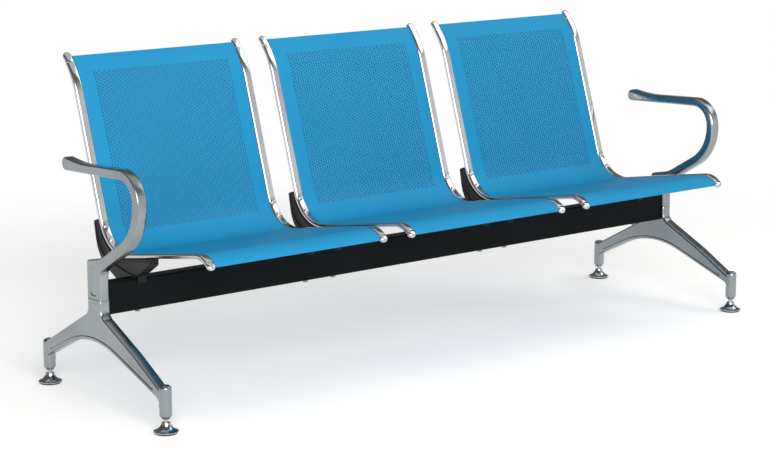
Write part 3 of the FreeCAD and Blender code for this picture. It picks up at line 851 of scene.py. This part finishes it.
@dataclass
class SeatShell(Assembly):
    """Perforated sheet seat: one blank with its holes, folded at the sides and bent along the seat line."""

    sheet: float = 2.0
    setback: float = 1.5
    flange: float = 8.0
    flange_starts: float = 20.0
    flange_ends: float = 7.0
    fold_radius: float = 2.5
    fold_steps: int = 4
    lip: float = 9.0
    lip_radius: float = 5.0
    hem: float = 12.0
    hem_radius: float = 5.0
    hole_pitch: float = 8.6
    hole_rows: int = 47
    hole_columns: int = 53
    holes_below_top: float = 44.0
    hole_front: float = 2.3
    hole_rear: float = 0.5
    hole_margin: float = 0.1
    cell_inset: float = 0.2
    whole_share: float = 0.75
    relief: float = 1.0
    row_step: float = 6.0

    @cached_property
    def route(self) -> Route:
        """Seat line with the rolled hem behind its top and the lip below its front."""
        line = self.layout.seat_line.corners
        tip, front = line[0], line[-1]
        start = (tip[0] + self.hem, tip[1] - self.hem / 2, 0.0)
        end = (front[0], front[1] - self.lip, 0.0)
        return Route((start, (*tip[:2], self.hem_radius), *line[1:-1], (*front[:2], self.lip_radius), end))

    @cached_property
    def field(self) -> tuple[float, float]:
        """Places along the route between which the holes lie."""
        runs = self.route.runs
        first = runs[0].length + runs[1].length + self.holes_below_top
        return first, first + self.hole_pitch * self.hole_rows

    @cached_property
    def flanges(self) -> tuple[float, float]:
        """Places along the route between which the side flanges run."""
        runs = self.route.runs
        top = runs[0].length + runs[1].length / 2 + self.flange_starts
        return top, self.route.length - runs[-1].length - runs[-2].length / 2 - self.flange_ends

    @cached_property
    def column_step(self) -> float:
        """Distance between columns of holes."""
        return self.hole_pitch * math.cos(HEX_TURN)

    @cached_property
    def middle_column(self) -> float:
        """Number of the column in the seat's middle."""
        return (self.hole_columns - 1) / 2

    @property
    def field_edge(self) -> float:
        """Distance of the perforated field's side edges from the seat's middle."""
        return (self.middle_column + 1 / 3) * self.column_step

    @property
    def fold_line(self) -> float:
        """Distance of the flanges' folds from the seat's middle."""
        return (self.layout.rail_spacing - self.layout.rail_width) / 2 - self.fold_radius

    def hole_place(self, column: int, row: int) -> tuple[float, float]:
        """Middle of a hole on the blank. Every other column is half a pitch up."""
        along = self.field[0] + (row + 0.5 - 0.5 * (column % 2)) * self.hole_pitch
        return (column - self.middle_column) * self.column_step, along

    def nearest_hole(self, point: Vector) -> Vector:
        """Middle of the hole nearest to a point of the blank.

        Args:
            point: The point.

        Returns:
            The hole's middle, at the point's own depth.
        """
        column = min(max(round(point.x / self.column_step + self.middle_column), 0), self.hole_columns - 1)
        odd = column % 2
        row = round((point.y - self.field[0]) / self.hole_pitch - 0.5 + 0.5 * odd)
        return Vector((*self.hole_place(column, min(max(row, odd), self.hole_rows - 1)), point.z))

    def on_wall(self, point: Vector) -> bool:
        """Whether a point of the sheet lies on a hole's wall."""
        return (point - self.nearest_hole(point)).length < self.hole_front + self.hole_margin

    def cells(self, bm: Mesh) -> None:
        """Makes the perforated field out of six-sided cells.

        Args:
            bm: The mesh that it is made in.
        """
        cell = bmesh.new()
        bmesh.ops.create_circle(cell, cap_ends=True, segments=6, radius=self.hole_pitch / math.sqrt(3),
                                matrix=Matrix.Rotation(HEX_TURN, 4, "Z"))
        bmesh.ops.subdivide_edges(cell, edges=cell.edges, cuts=1)
        area = sum(face.calc_area() for face in cell.faces)
        pattern = stored("cell", cell)
        for column in range(self.hole_columns):
            for row in range(self.hole_rows + column % 2):
                stamped(bm, pattern, (*self.hole_place(column, row), 0))
        bpy.data.meshes.remove(pattern)
        bmesh.ops.remove_doubles(bm, verts=bm.verts, dist=NEAR)
        first, last = self.field
        for point, normal in (((self.field_edge, 0, 0), (1, 0, 0)), ((-self.field_edge, 0, 0), (-1, 0, 0)),
                              ((0, first, 0), (0, -1, 0)), ((0, last, 0), (0, 1, 0))):
            cut(bm, point, normal, cleared=True)
        whole = [face for face in bm.faces if face.calc_area() > self.whole_share * area]
        centres = {face: self.nearest_hole(face.calc_center_median()) for face in whole}
        inset = self.hole_pitch * self.cell_inset
        bmesh.ops.inset_individual(bm, faces=whole, thickness=inset, use_even_offset=True)
        for face, centre in centres.items():
            for vert in face.verts:
                vert.co = centre + (vert.co - centre).normalized() * self.hole_front
        bmesh.ops.delete(bm, geom=whole, context="FACES")

    def blank(self) -> Mesh:
        """Makes the flat blank with its holes.

        Returns:
            The blank: its X runs across the seat and its Y along the route.
        """
        bm = bmesh.new()
        self.cells(bm)
        top, bottom = self.flanges
        reliefs = (top - self.relief, top, bottom, bottom + self.relief)
        for start, end in zip(self.field, (0.0, self.route.length)):
            edges = border(bm, 1, start)
            low, high = min(start, end), max(start, end)
            rows = self.route.stations(low, high, self.row_step)
            rows += [row for row in reliefs if low < row < high]
            here = start
            for row in sorted(set(rows), reverse=end < start) + [end]:
                edges = grown(bm, edges, Vector((0, row - here, 0)))
                here = row
        self.widen(bm)
        bmesh.ops.recalc_face_normals(bm, faces=bm.faces)
        return bm

    def widen(self, bm: Mesh) -> None:
        """Widens the blank to the folds, and adds the flanges and the flat ends beside them.

        Args:
            bm: The blank.
        """
        top, bottom = self.flanges
        edge = self.field_edge
        arc = self.fold_radius * math.pi / 2
        for sign in (-1, 1):
            edges = grown(bm, border(bm, 0, sign * edge), Vector((sign * (self.fold_line - edge), 0, 0)))
            between = [e for e in edges if all(top - TINY < v.co.y < bottom + TINY for v in e.verts)]
            beyond = [e for e in edges if all(not top - TINY < v.co.y < bottom + TINY for v in e.verts)]
            grown(bm, beyond, Vector((sign * self.fold_radius, 0, 0)))
            for _ in range(self.fold_steps):
                between = grown(bm, between, Vector((sign * arc / self.fold_steps, 0, 0)))
            grown(bm, between, Vector((sign * (self.flange - self.fold_radius), 0, 0)))

    def thicken(self, bm: Mesh) -> None:
        """Gives the blank its thickness, narrows the holes towards the rear and marks the hole walls for
        their painted shade.

        Args:
            bm: The blank.
        """
        bmesh.ops.translate(bm, verts=bm.verts, vec=(0, 0, self.setback))
        for vert in pulled(bm, bm.faces[:], (0, 0, self.sheet)):
            if self.on_wall(vert.co):
                centre = self.nearest_hole(vert.co)
                vert.co = centre + (vert.co - centre) * (self.hole_rear / self.hole_front)
        for face in bm.faces:
            # Faces on the hole walls take the second finish, the darker blue of painted shade
            face.material_index = int(all(self.on_wall(v.co) for v in face.verts))

    def fold(self, bm: Mesh) -> None:
        """Folds the flanges of the flat blank to the rear.

        Args:
            bm: The thick blank.
        """
        top, bottom = self.flanges
        centre = self.setback + self.fold_radius
        for vert in bm.verts:
            x, along, depth = vert.co
            past = abs(x) - self.fold_line
            if past <= TINY or not top - TINY < along < bottom + TINY:
                continue
            turn = min(past / self.fold_radius, math.pi / 2)
            radius = centre - depth
            drop = max(past - self.fold_radius * math.pi / 2, 0.0)
            side = self.fold_line + radius * math.sin(turn)
            vert.co = (math.copysign(side, x), along, centre - radius * math.cos(turn) + drop)

    def build_all(self) -> None:
        """Bends one shell and builds the three seats from it."""
        shell = self.blank()
        self.thicken(shell)
        self.fold(shell)
        self.route.wrap(shell)
        for seat in Seat:
            self.dresser.piece(f"shell_{seat.word}", shell, (Surface.SEAT, Surface.HOLE),
                               f"seat_panel_{seat.word}", self.layout.seat_x(seat))


# Rails


@dataclass
class Rail(Assembly):
    """Chromed flat-oval rail with its two pressed-in end caps."""

    corner: float = 5.0
    corner_segments: int = 6
    tip_steps: int = 20
    top_cap: float = 20.0
    front_cap: float = 7.0
    seam_edge: float = 0.6
    row_step: float = 8.0

    def bar(self) -> Mesh:
        """Makes the straight bar with round tips.

        Returns:
            The bar: its Y runs along the seat line and its Z is the depth behind it.
        """
        bm = bmesh.new()
        length = self.layout.seat_line.length
        half = self.layout.rail_width / 2
        edge = bm.edges.new([bm.verts.new((x, 0, 0)) for x in (-half, half)])
        grown(bm, [edge], Vector((0, length, 0)))
        for y, sign in ((0.0, -1), (length, 1)):
            corner = min(bm.verts, key=lambda v: (v.co - Vector((half, y, 0))).length)
            bmesh.ops.spin(bm, geom=[corner], cent=(0, y, 0), axis=(0, 0, sign), angle=math.pi,
                           steps=self.tip_steps)
        bmesh.ops.remove_doubles(bm, verts=bm.verts, dist=CLOSE)
        bmesh.ops.delete(bm, geom=bm.faces[:], context="FACES_ONLY")
        level = [e for e in bm.edges if abs(e.verts[0].co.y - e.verts[1].co.y) < TINY]
        across = [e for e in level if abs(e.calc_length() - 2 * half) < TINY]
        bmesh.ops.delete(bm, geom=across, context="EDGES")
        face = bmesh.ops.edgeloop_fill(bm, edges=bm.edges[:])["faces"][0]
        pulled(bm, [face], (0, 0, self.layout.rail_depth))
        rims = [e for e in bm.edges if abs(e.verts[0].co.z - e.verts[1].co.z) < TINY]
        bevelled(bm, rims, self.corner, self.corner_segments)
        return bm

    def part(self, bar: Mesh, cuts: Sequence[tuple[float, int]]) -> Mesh:
        """Bent part of the bar between its seams.

        Args:
            bar: The whole straight bar.
            cuts: Place and outward direction of each seam.

        Returns:
            The bent part.
        """
        bm = bar.copy()
        for place, sign in cuts:
            edges = cut(bm, (0, place, 0), (0, sign, 0), cleared=True)
            bmesh.ops.holes_fill(bm, edges=edges, sides=0)
            bmesh.ops.recalc_face_normals(bm, faces=bm.faces)
            bevelled(bm, edges, self.seam_edge, SEAM_SEGMENTS)
        line = self.layout.seat_line
        for place in line.stations(0.0, line.length, self.row_step):
            cut(bm, (0, place, 0), (0, 1, 0))
        line.wrap(bm)
        return bm

    def build_all(self) -> None:
        """Builds the six tubes and the caps of each seat."""
        low = self.top_cap
        high = self.layout.seat_line.length - self.front_cap
        bar = self.bar()
        tube = self.part(bar, [(low, -1), (high, 1)])
        ends = [self.part(bar, [(low, 1)]), self.part(bar, [(high, -1)])]
        for seat in Seat:
            caps = bmesh.new()
            for name, x in self.layout.rails(seat):
                self.dresser.piece(f"tube_{name}", tube, [Surface.CHROME], f"rail_{name}", x)
                for end in ends:
                    joined(caps, end, x)
            self.dresser.piece(f"caps_{seat.word}", caps, [Surface.CHROME], f"rail_caps_{seat.word}")


# Brackets


@dataclass
class Bracket(Assembly):
    """Black curved casting that hooks over the beam and carries one rail."""

    width: float = 24.0
    above_bend: float = 88.0
    ahead_of_bend: float = 196.0
    tip_depth: float = 20.0
    nose_depth: float = 17.0
    lip: float = 10.0
    lip_thickness: float = 5.0
    heel: float = 12.0
    heel_drop: float = 39.0
    elbow_back: float = 42.0
    elbow_drop: float = 12.0
    elbow_radius: float = 90.0
    nose_radius: float = 8.0
    tip_radius: float = 4.0
    rim: float = 6.0
    pocket: float = 2.5
    pocket_corner: float = 3.0
    pocket_bend: float = 8.0
    pocket_edge: float = 1.2
    edge: float = 1.6
    edge_segments: int = 3

    def outlines(self) -> tuple[Route, Route]:
        """Side view of the bracket.

        Returns:
            The outline of the casting and that of its side recess.
        """
        lay = self.layout
        top = ahead(lay.bend, 90 - lay.back_angle, self.above_bend)
        front = ahead(lay.bend, 180 - lay.seat_angle, self.ahead_of_bend)
        line = Route(((*top, 0.0), (*lay.bend, lay.bend_radius), (*front, 0.0)))
        bearing = line.shifted(lay.rail_depth).corners
        tip = ahead(bearing[0], -lay.back_angle, self.tip_depth)
        nose_y, nose_z, _ = bearing[2]
        hook = lay.beam_front - self.lip_thickness
        heel = lay.beam_top - self.heel_drop
        elbow = (lay.bend.x + self.elbow_back, lay.bend.y - self.elbow_drop, self.elbow_radius)
        nose = ((nose_y, nose_z, 0.0), (nose_y, nose_z - self.nose_depth, self.nose_radius))
        back = (elbow, (*tip, self.tip_radius))
        on_beam = ((lay.beam_front, lay.beam_top, 0.0), (lay.beam_rear, lay.beam_top, 0.0))
        saddle = ((hook, lay.beam_top + self.lip_thickness, self.lip_thickness),
                  (hook, lay.beam_top - self.lip, 0.0), (lay.beam_front, lay.beam_top - self.lip, 0.0),
                  *on_beam, (lay.beam_rear, heel, 0.0), (lay.beam_rear + self.heel, heel, self.heel / 2))
        bend_corner = (*bearing[1][:2], bearing[1][2] - self.pocket_bend)
        whole = Route((*bearing[:2], *nose, *saddle, *back), closed=True)
        window = Route((bearing[0], bend_corner, *nose, *on_beam, *back), closed=True)
        return whole, window.shifted(self.rim).rounded(self.pocket_corner)

    def on_beam(self, place: Vector) -> bool:
        """Whether an edge lies against the beam, by its middle."""
        lay = self.layout
        return lay.beam_front - TINY <= place.y <= lay.beam_rear + TINY and place.z <= lay.beam_top + TINY

    def build_all(self) -> None:
        """Builds the six brackets."""
        whole, pocket = self.outlines()
        half = self.width / 2
        casting = prism(whole, half)
        for sign in (-1, 1):
            bevelled(casting, rim(casting, sign, self.on_beam), self.edge, self.edge_segments)
        for sign in (-1, 1):
            recessed(casting, pocket, sign * half, self.pocket, self.pocket_edge)
        for seat in Seat:
            for name, x in self.layout.rails(seat):
                self.dresser.piece(f"casting_{name}", casting, [Surface.BRACKET], f"bracket_{name}", x)


# Legs and armrests


@dataclass
class EndCasting(Assembly):
    """Polished casting at an end of the bench, with soft edges and shallow recesses."""

    kind: str = ""
    width: float = 28.0
    post_depth: float = 56.0
    outer_edge: float = 3.5
    outer_segments: int = 4
    inner_edge: float = 6.0
    inner_segments: int = 5
    shoulder_radius: float = 24.0
    recess_signs: tuple[int, ...] = (-1,)
    recess_depth: float = 2.0
    recess_edge: float = 1.2
    seam_edge: float = 0.8

    @property
    def post_front(self) -> float:
        """Front of the post."""
        return self.layout.beam_y - self.post_depth / 2

    @property
    def post_rear(self) -> float:
        """Rear of the post."""
        return self.layout.beam_y + self.post_depth / 2

    @property
    def outline(self) -> Route:
        """Side view of the casting."""
        raise NotImplementedError

    @property
    def recess(self) -> Route:
        """Side view of its recess."""
        raise NotImplementedError

    def plain(self, place: Vector) -> bool:
        """Whether an edge, by its middle, lies at the seam between leg and armrest."""
        return abs(place.z - self.layout.seam) < NEAR

    def extend(self, bm: Mesh) -> None:
        """Adds what isn't part of the outline."""

    def build_all(self) -> None:
        """Builds the casting of both ends."""
        half = self.width / 2
        casting = prism(self.outline, half)
        bevelled(casting, rim(casting, -1, self.plain), self.outer_edge, self.outer_segments)
        bevelled(casting, rim(casting, 1, self.plain), self.inner_edge, self.inner_segments)
        for sign in self.recess_signs:
            recessed(casting, self.recess, sign * half, self.recess_depth, self.recess_edge)
        bevelled(casting, end_rim(casting, self.layout.seam), self.seam_edge, SEAM_SEGMENTS)
        self.extend(casting)
        for side in Side:
            name = f"{self.kind}_{side.word}"
            self.dresser.piece(f"casting_{name}", casting, [Surface.CAST], name, -self.layout.leg_x,
                               mirrored=side is Side.RIGHT)


@dataclass
class Leg(EndCasting):
    """Polished cast leg: a post on two arched arms with round foot sockets."""

    kind: str = "leg"
    recess_signs: tuple[int, ...] = (-1, 1)
    front_reach: float = 281.5
    rear_reach: float = 243.5
    shoulder: float = 2.0
    crown_ahead: float = 169.5
    crown_height: float = 157.5
    crown_radius: float = 400.0
    crotch_behind: float = 25.5
    crotch_height: float = 177.0
    crotch_radius: float = 280.0
    front_root_height: float = 77.5
    rear_root_height: float = 71.5
    root_radius: float = 16.0
    root_inset: float = 7.0
    root_low: float = 60.0
    root_margin: float = 0.1
    front_top: float = 98.0
    rear_top: float = 104.0
    rim_width: float = 8.5
    recess_corner: float = 2.5
    socket_radius: float = 14.5
    socket_bottom: float = 34.5
    socket_top: float = 112.0
    socket_dome: float = 9.0
    socket_strip: float = 1.0
    socket_steps: int = 40
    dome_steps: int = 6
    bevel_height: float = 7.0
    bevel: float = 4.5
    bush_radius: float = 9.0
    bush_length: float = 30.0
    bush_step: float = 1.5
    room_above_bush: float = 27.5

    @property
    def feet(self) -> dict[Row, float]:
        """Places of the two feet, front to back."""
        beam = self.layout.beam_y
        return {Row.FRONT: beam - self.front_reach, Row.REAR: beam + self.rear_reach}

    @property
    def outline(self) -> Route:
        """Side view of the leg, from the seam down."""
        lay = self.layout
        front, rear = self.feet.values()
        shoulder = lay.beam_underside + self.shoulder
        return Route((
            (self.post_rear, lay.seam, 0.0),
            (self.post_front, lay.seam, 0.0),
            (self.post_front, shoulder, self.shoulder_radius),
            (lay.beam_y - self.crown_ahead, self.crown_height, self.crown_radius),
            (front, self.front_top, 0.0),
            (front, self.root_low, 0.0),
            (front + self.root_inset, self.root_low, 0.0),
            (front + self.root_inset, self.front_root_height, self.root_radius),
            (lay.beam_y + self.crotch_behind, self.crotch_height, self.crotch_radius),
            (rear - self.root_inset, self.rear_root_height, self.root_radius),
            (rear - self.root_inset, self.root_low, 0.0),
            (rear, self.root_low, 0.0),
            (rear, self.rear_top, 0.0),
            (self.post_rear, shoulder, self.shoulder_radius),
        ), closed=True)

    @property
    def recess(self) -> Route:
        """Y-shaped recess, an even rim inside the outline."""
        points = self.outline.corners
        front, rear = self.feet.values()
        front_end = front + self.socket_radius + self.rim_width
        rear_end = rear - self.socket_radius - self.rim_width

        def on_line(start: int, end: int, y: float) -> Corner:
            """Sharp corner on the straight line between two of the outline's points."""
            share = (y - points[start][0]) / (points[end][0] - points[start][0])
            return y, points[start][1] + share * (points[end][1] - points[start][1]), 0.0

        ends = (on_line(4, 3, front_end), on_line(7, 8, front_end), points[8],
                on_line(9, 8, rear_end), on_line(12, 13, rear_end), points[13])
        route = Route((*points[:4], *ends), closed=True)
        return route.shifted(self.rim_width).rounded(self.recess_corner)

    def plain(self, place: Vector) -> bool:
        """Tells the edges that aren't rounded.

        Args:
            place: Middle of an edge.

        Returns:
            Whether the edge lies at the seam or inside a socket.
        """
        nearest = min(abs(place.y - foot) for foot in self.feet.values())
        in_socket = place.z < self.socket_top and nearest < self.root_inset + self.root_margin
        return super().plain(place) or in_socket

    def extend(self, bm: Mesh) -> None:
        """Adds the domed foot sockets with their bores.

        Args:
            bm: The casting.
        """
        radius = self.socket_radius
        dome = self.socket_top - self.socket_dome
        low = self.socket_bottom
        bore_top = low + self.bush_length
        room_top = bore_top + self.room_above_bush
        shaft = self.bush_radius - self.bush_step
        profile = [(0.0, room_top), (shaft, room_top), (shaft, bore_top), (self.bush_radius, bore_top),
                   (self.bush_radius, low), (radius - self.bevel, low), (radius, low + self.bevel_height),
                   (radius, dome - self.socket_strip)]
        round_x = radius - self.socket_dome
        profile += arc_points((round_x, dome), self.socket_dome, 0, 90, self.dome_steps)
        profile += [(round_x - self.socket_strip, self.socket_top), (0.0, self.socket_top)]
        for foot in self.feet.values():
            socket = spun(profile, self.socket_steps)
            placed(socket, 0.0, foot)
            joined(bm, socket)
            socket.free()


@dataclass
class Armrest(EndCasting):
    """Polished cast armrest with its own lower post."""

    kind: str = "armrest"
    inner_edge: float = 8.0
    inner_segments: int = 6
    front_reach: float = 205.0
    rear_reach: float = 130.0
    thickness: float = 26.0
    root_height: float = 325.0
    lower_corner: float = 429.0
    top: float = 585.0
    bar_height: float = 25.0
    tail_top: float = 579.0
    tail_bottom: float = 545.0
    dip_behind: float = 55.0
    dip_height: float = 570.0
    dip_radius: float = 420.0
    tail_radius: float = 15.0
    top_radius: float = 76.0
    lower_radius: float = 130.0
    post_top_rear: float = 347.0
    post_top_rise: float = 0.2
    post_top_blend: float = 110.0
    post_top_corner: float = 9.0
    slot_width: float = 30.0
    slot_gap: float = 9.0
    slot_height: float = 66.0
    slot_corner: float = 12.0

    @property
    def outline(self) -> Route:
        """Side view of the armrest, from the seam up."""
        lay = self.layout
        front = lay.beam_y - self.front_reach
        rear = lay.beam_y + self.rear_reach
        rise = Vector((self.post_front - front, self.root_height - self.lower_corner)).normalized()
        root = Vector((self.post_front, self.root_height))
        inner_line = root + Vector((-rise.y, rise.x)) * self.thickness
        inner_front = front + self.thickness
        inner_corner = inner_line.y + (inner_front - inner_line.x) * rise.y / rise.x
        post_top = self.post_top_rear + (self.post_rear - inner_line.x) * self.post_top_rise
        meeting = (post_top - inner_line.y) / (self.post_top_rise + rise.y / rise.x)
        joint = (inner_line.x + meeting, post_top - meeting * self.post_top_rise)
        return Route((
            (self.post_rear, lay.seam, 0.0),
            (self.post_rear, self.post_top_rear, self.post_top_corner),
            (*joint, self.post_top_blend),
            (inner_front, inner_corner, self.lower_radius - self.thickness),
            (inner_front, self.top - self.bar_height, self.top_radius - self.thickness),
            (rear, self.tail_bottom, self.tail_radius),
            (rear, self.tail_top, self.tail_radius),
            (lay.beam_y + self.dip_behind, self.dip_height, self.dip_radius),
            (front, self.top, self.top_radius),
            (front, self.lower_corner, self.lower_radius),
            (*root, self.shoulder_radius),
            (self.post_front, lay.seam, 0.0),
        ), closed=True)

    @property
    def recess(self) -> Route:
        """Rounded slot recess on the post."""
        low = self.layout.seam + self.slot_gap
        high = low + self.slot_height
        front = self.layout.beam_y - self.slot_width / 2
        rear = self.layout.beam_y + self.slot_width / 2
        corners = ((front, low), (rear, low), (rear, high), (front, high))
        return Route(tuple((*corner, self.slot_corner) for corner in corners), closed=True)


# Feet


@dataclass
class Foot(Assembly):
    """Levelling foot: a domed base on a rubber pad, round a threaded spindle."""

    places: dict[Row, float]
    radius: float = 28.5
    rim_height: float = 3.0
    rim_edge: float = 1.0
    rim_strip: float = 0.3
    hub_radius: float = 10.0
    hub_top: float = 25.0
    sag: float = 2.5
    pad_radius: float = 26.0
    pad_height: float = 3.5
    plug_radius: float = 24.5
    plug_height: float = 3.0
    bore: float = 6.3
    bore_edge: float = 0.6
    collar_top: float = 19.0
    collar_bore: float = 8.3
    collar_floor: float = 12.0
    edge_steps: int = 3
    dome_steps: int = 14
    base_steps: int = 56
    pad_steps: int = 48

    def base(self) -> Mesh:
        """Makes the domed base with its collar seat.

        Returns:
            The base, round the vertical axis.
        """
        low = self.pad_height
        rim_top = low + self.rim_height
        plug_top = low + self.plug_height
        edge = self.rim_edge
        start = Vector((self.radius, rim_top))
        end = Vector((self.hub_radius, self.hub_top))
        middle = (start + end) / 2 - Vector((self.sag, self.sag))
        centre, radius = circle_through(start, middle, end)
        first, last = (math.degrees(math.atan2(p.y - centre.y, p.x - centre.x)) for p in (start, end))
        last -= 360 * round((last - first) / 360)
        profile = [(0.0, plug_top), (self.plug_radius, plug_top), (self.plug_radius, low),
                   (self.radius - edge, low)]
        profile += arc_points((self.radius - edge, low + edge), edge, -90, 0, self.edge_steps)[1:]
        profile += [(self.radius, rim_top - self.rim_strip)]
        profile += arc_points(centre, radius, first, last, self.dome_steps)[1:]
        profile += [(self.bore + self.bore_edge, self.hub_top), (self.bore, self.hub_top - self.bore_edge),
                    (self.bore, self.collar_top), (self.collar_bore, self.collar_top),
                    (self.collar_bore, self.collar_floor), (0.0, self.collar_floor)]
        return spun(profile, self.base_steps)

    def pad(self) -> Mesh:
        """Makes the rubber pad with its plug.

        Returns:
            The pad, round the vertical axis.
        """
        edge = self.rim_edge
        plug_top = self.pad_height + self.plug_height
        profile = [(0.0, 0.0), (self.pad_radius - edge, 0.0)]
        profile += arc_points((self.pad_radius - edge, edge), edge, -90, 0, self.edge_steps)[1:]
        profile += [(self.pad_radius, self.pad_height), (self.plug_radius, self.pad_height),
                    (self.plug_radius, plug_top), (0.0, plug_top)]
        return spun(profile, self.pad_steps)

    def build_all(self) -> None:
        """Builds the four feet."""
        parts = (("base", self.base(), Surface.FOOT), ("pad", self.pad(), Surface.RUBBER))
        for side in Side:
            for row, y in self.places.items():
                name = f"{side.word}_{row.word}"
                for kind, bm, surface in parts:
                    self.dresser.piece(f"{kind}_{name}", bm, [surface], f"foot_{kind}_{name}",
                                       side.value * self.layout.leg_x, y, f"foot_{name}")


# Stage


def by_ray(tree: Tree, light: Socket, shown: Socket) -> Socket:
    """Mixes what lights the bench with what is seen directly, in a reflection or through glass.

    Args:
        tree: The node tree.
        light: The shader that other rays meet.
        shown: The shader that is seen.

    Returns:
        The mixed shader.
    """
    rays = added(tree, "LightPath").outputs
    seen = rays["Is Camera Ray"]
    for name in ("Is Glossy Ray", "Is Transmission Ray"):
        seen = added(tree, "Math", {0: seen, 1: rays[name]}, operation="MAXIMUM").outputs["Value"]
    return added(tree, "MixShader", {"Fac": seen, 1: light, 2: shown}).outputs["Shader"]


def emptied(owner: bpy.types.ID) -> Tree:
    """Gives a material or world an empty node tree.

    Args:
        owner: The material or world.

    Returns:
        The tree.
    """
    owner.use_nodes = True
    owner.node_tree.nodes.clear()
    return owner.node_tree


@dataclass(frozen=True)
class Softbox:
    """One studio lamp, aimed at the bench."""

    name: str
    place: tuple[float, float, float]
    size: tuple[float, float]
    power: float
    aim: tuple[float, float, float] = (0.0, 0.0, 0.4)

    def build(self) -> None:
        """Hangs the lamp."""
        lamp = bpy.data.lights.new(self.name, "AREA")
        lamp.shape = "RECTANGLE"
        lamp.size, lamp.size_y = self.size
        lamp.energy = self.power
        thing = in_scene(self.name, lamp)
        thing.location = self.place
        away = Vector(self.place) - Vector(self.aim)
        thing.rotation_euler = away.to_track_quat("Z", "Y").to_euler()


@dataclass
class Studio:
    """Pale floor, soft lamps, white surroundings and the camera, in metres."""

    camera_place: tuple[float, float, float] = (-3.3378, -4.1345, 1.4098)
    camera_back: tuple[float, float, float] = (-0.60648, -0.76826, 0.20485)
    camera_roll: float = 0.0494
    lens: float = 97.356
    sensor: float = 36.0
    farthest: float = 200.0
    floor_size: float = 40.0
    floor_segments: int = 64
    floor_colour: tuple[float, float, float] = (0.965, 0.95, 0.935)
    floor_lift: float = 0.27
    floor_fade: tuple[float, float] = (1.25, 2.6)
    ambient: float = 0.32
    overhead: float = 0.16
    sky_fade: tuple[float, float] = (0.04, 0.5)
    rear_lean: float = 0.28
    lamps: tuple[Softbox, ...] = (
        Softbox("key softbox", (-2.8, -4.8, 2.6), (4.0, 3.0), 300.0),
        Softbox("right softbox", (3.4, -1.5, 4.0), (3.0, 2.4), 50.0),
        Softbox("top softbox", (0.2, 0.3, 4.2), (5.0, 3.0), 30.0),
    )

    def camera(self) -> None:
        """Places the camera at the photograph's view."""
        lens = bpy.data.cameras.new("camera")
        lens.lens = self.lens
        lens.sensor_width = self.sensor
        lens.clip_end = self.farthest
        thing = in_scene("camera", lens)
        back = Vector(self.camera_back).normalized()
        across = Vector((0, 0, 1)).cross(back).normalized()
        up = back.cross(across)
        roll = Matrix.Rotation(math.radians(self.camera_roll), 4, "Z")
        turn = Matrix((across, up, back)).transposed().to_4x4() @ roll
        thing.matrix_world = Matrix.Translation(Vector(self.camera_place)) @ turn
        bpy.context.scene.camera = thing

    def surroundings(self) -> None:
        """White world, greyer overhead, that lights the bench evenly."""
        world = bpy.data.worlds.new("studio")
        tree = emptied(world)
        way = added(tree, "TexCoord").outputs["Generated"]
        split = added(tree, "SeparateXYZ", {"Vector": way}).outputs
        slant = {0: split["Y"], 1: self.rear_lean, 2: split["Z"]}
        lean = added(tree, "Math", slant, operation="MULTIPLY_ADD").outputs["Value"]
        height = ranged(tree, lean, self.sky_fade, 1.0, self.overhead)
        shown = added(tree, "Background", {"Color": height}).outputs["Background"]
        light = added(tree, "Background", {"Strength": self.ambient, "Color": WHITE}).outputs["Background"]
        added(tree, "OutputWorld", {"Surface": by_ray(tree, light, shown)})
        bpy.context.scene.world = world

    def floor(self) -> None:
        """Pale floor that keeps the shadow near the bench and fades to white."""
        bm = bmesh.new()
        bmesh.ops.create_circle(bm, cap_ends=True, segments=self.floor_segments, radius=self.floor_size)
        mesh = stored("floor", bm)
        look = bpy.data.materials.new("studio floor")
        tree = emptied(look)
        diffuse = added(tree, "BsdfDiffuse", {"Color": (*self.floor_colour, 1.0)}).outputs["BSDF"]
        lift = added(tree, "Emission", {"Strength": self.floor_lift}).outputs["Emission"]
        both = added(tree, "AddShader", {0: diffuse, 1: lift}).outputs["Shader"]
        white = added(tree, "Emission").outputs["Emission"]
        place = added(tree, "TexCoord").outputs["Object"]
        length = added(tree, "VectorMath", {0: place}, operation="LENGTH").outputs["Value"]
        far = ranged(tree, length, self.floor_fade, 0.0, 1.0)
        shown = added(tree, "MixShader", {"Fac": far, 1: both, 2: white}).outputs["Shader"]
        added(tree, "OutputMaterial", {"Surface": by_ray(tree, diffuse, shown)})
        mesh.materials.append(look)
        in_scene("floor", mesh)

    def build(self) -> None:
        """Sets up the whole studio."""
        self.camera()
        self.surroundings()
        self.floor()
        for lamp in self.lamps:
            lamp.build()
        bpy.context.scene.view_settings.view_transform = "Standard"


def main() -> None:
    """Builds the bench and its studio."""
    logging.basicConfig(level=logging.INFO, format="%(name)s: %(message)s")
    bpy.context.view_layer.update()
    layout = Layout()
    dresser = Dresser()
    leg = Leg(layout, dresser)
    for assembly in (SeatShell(layout, dresser), Rail(layout, dresser), Bracket(layout, dresser), leg,
                     Armrest(layout, dresser), Foot(layout, dresser, leg.feet)):
        assembly.build_all()
    dresser.dress_nodes()
    Studio().build()


if __name__ == "__main__":
    main()
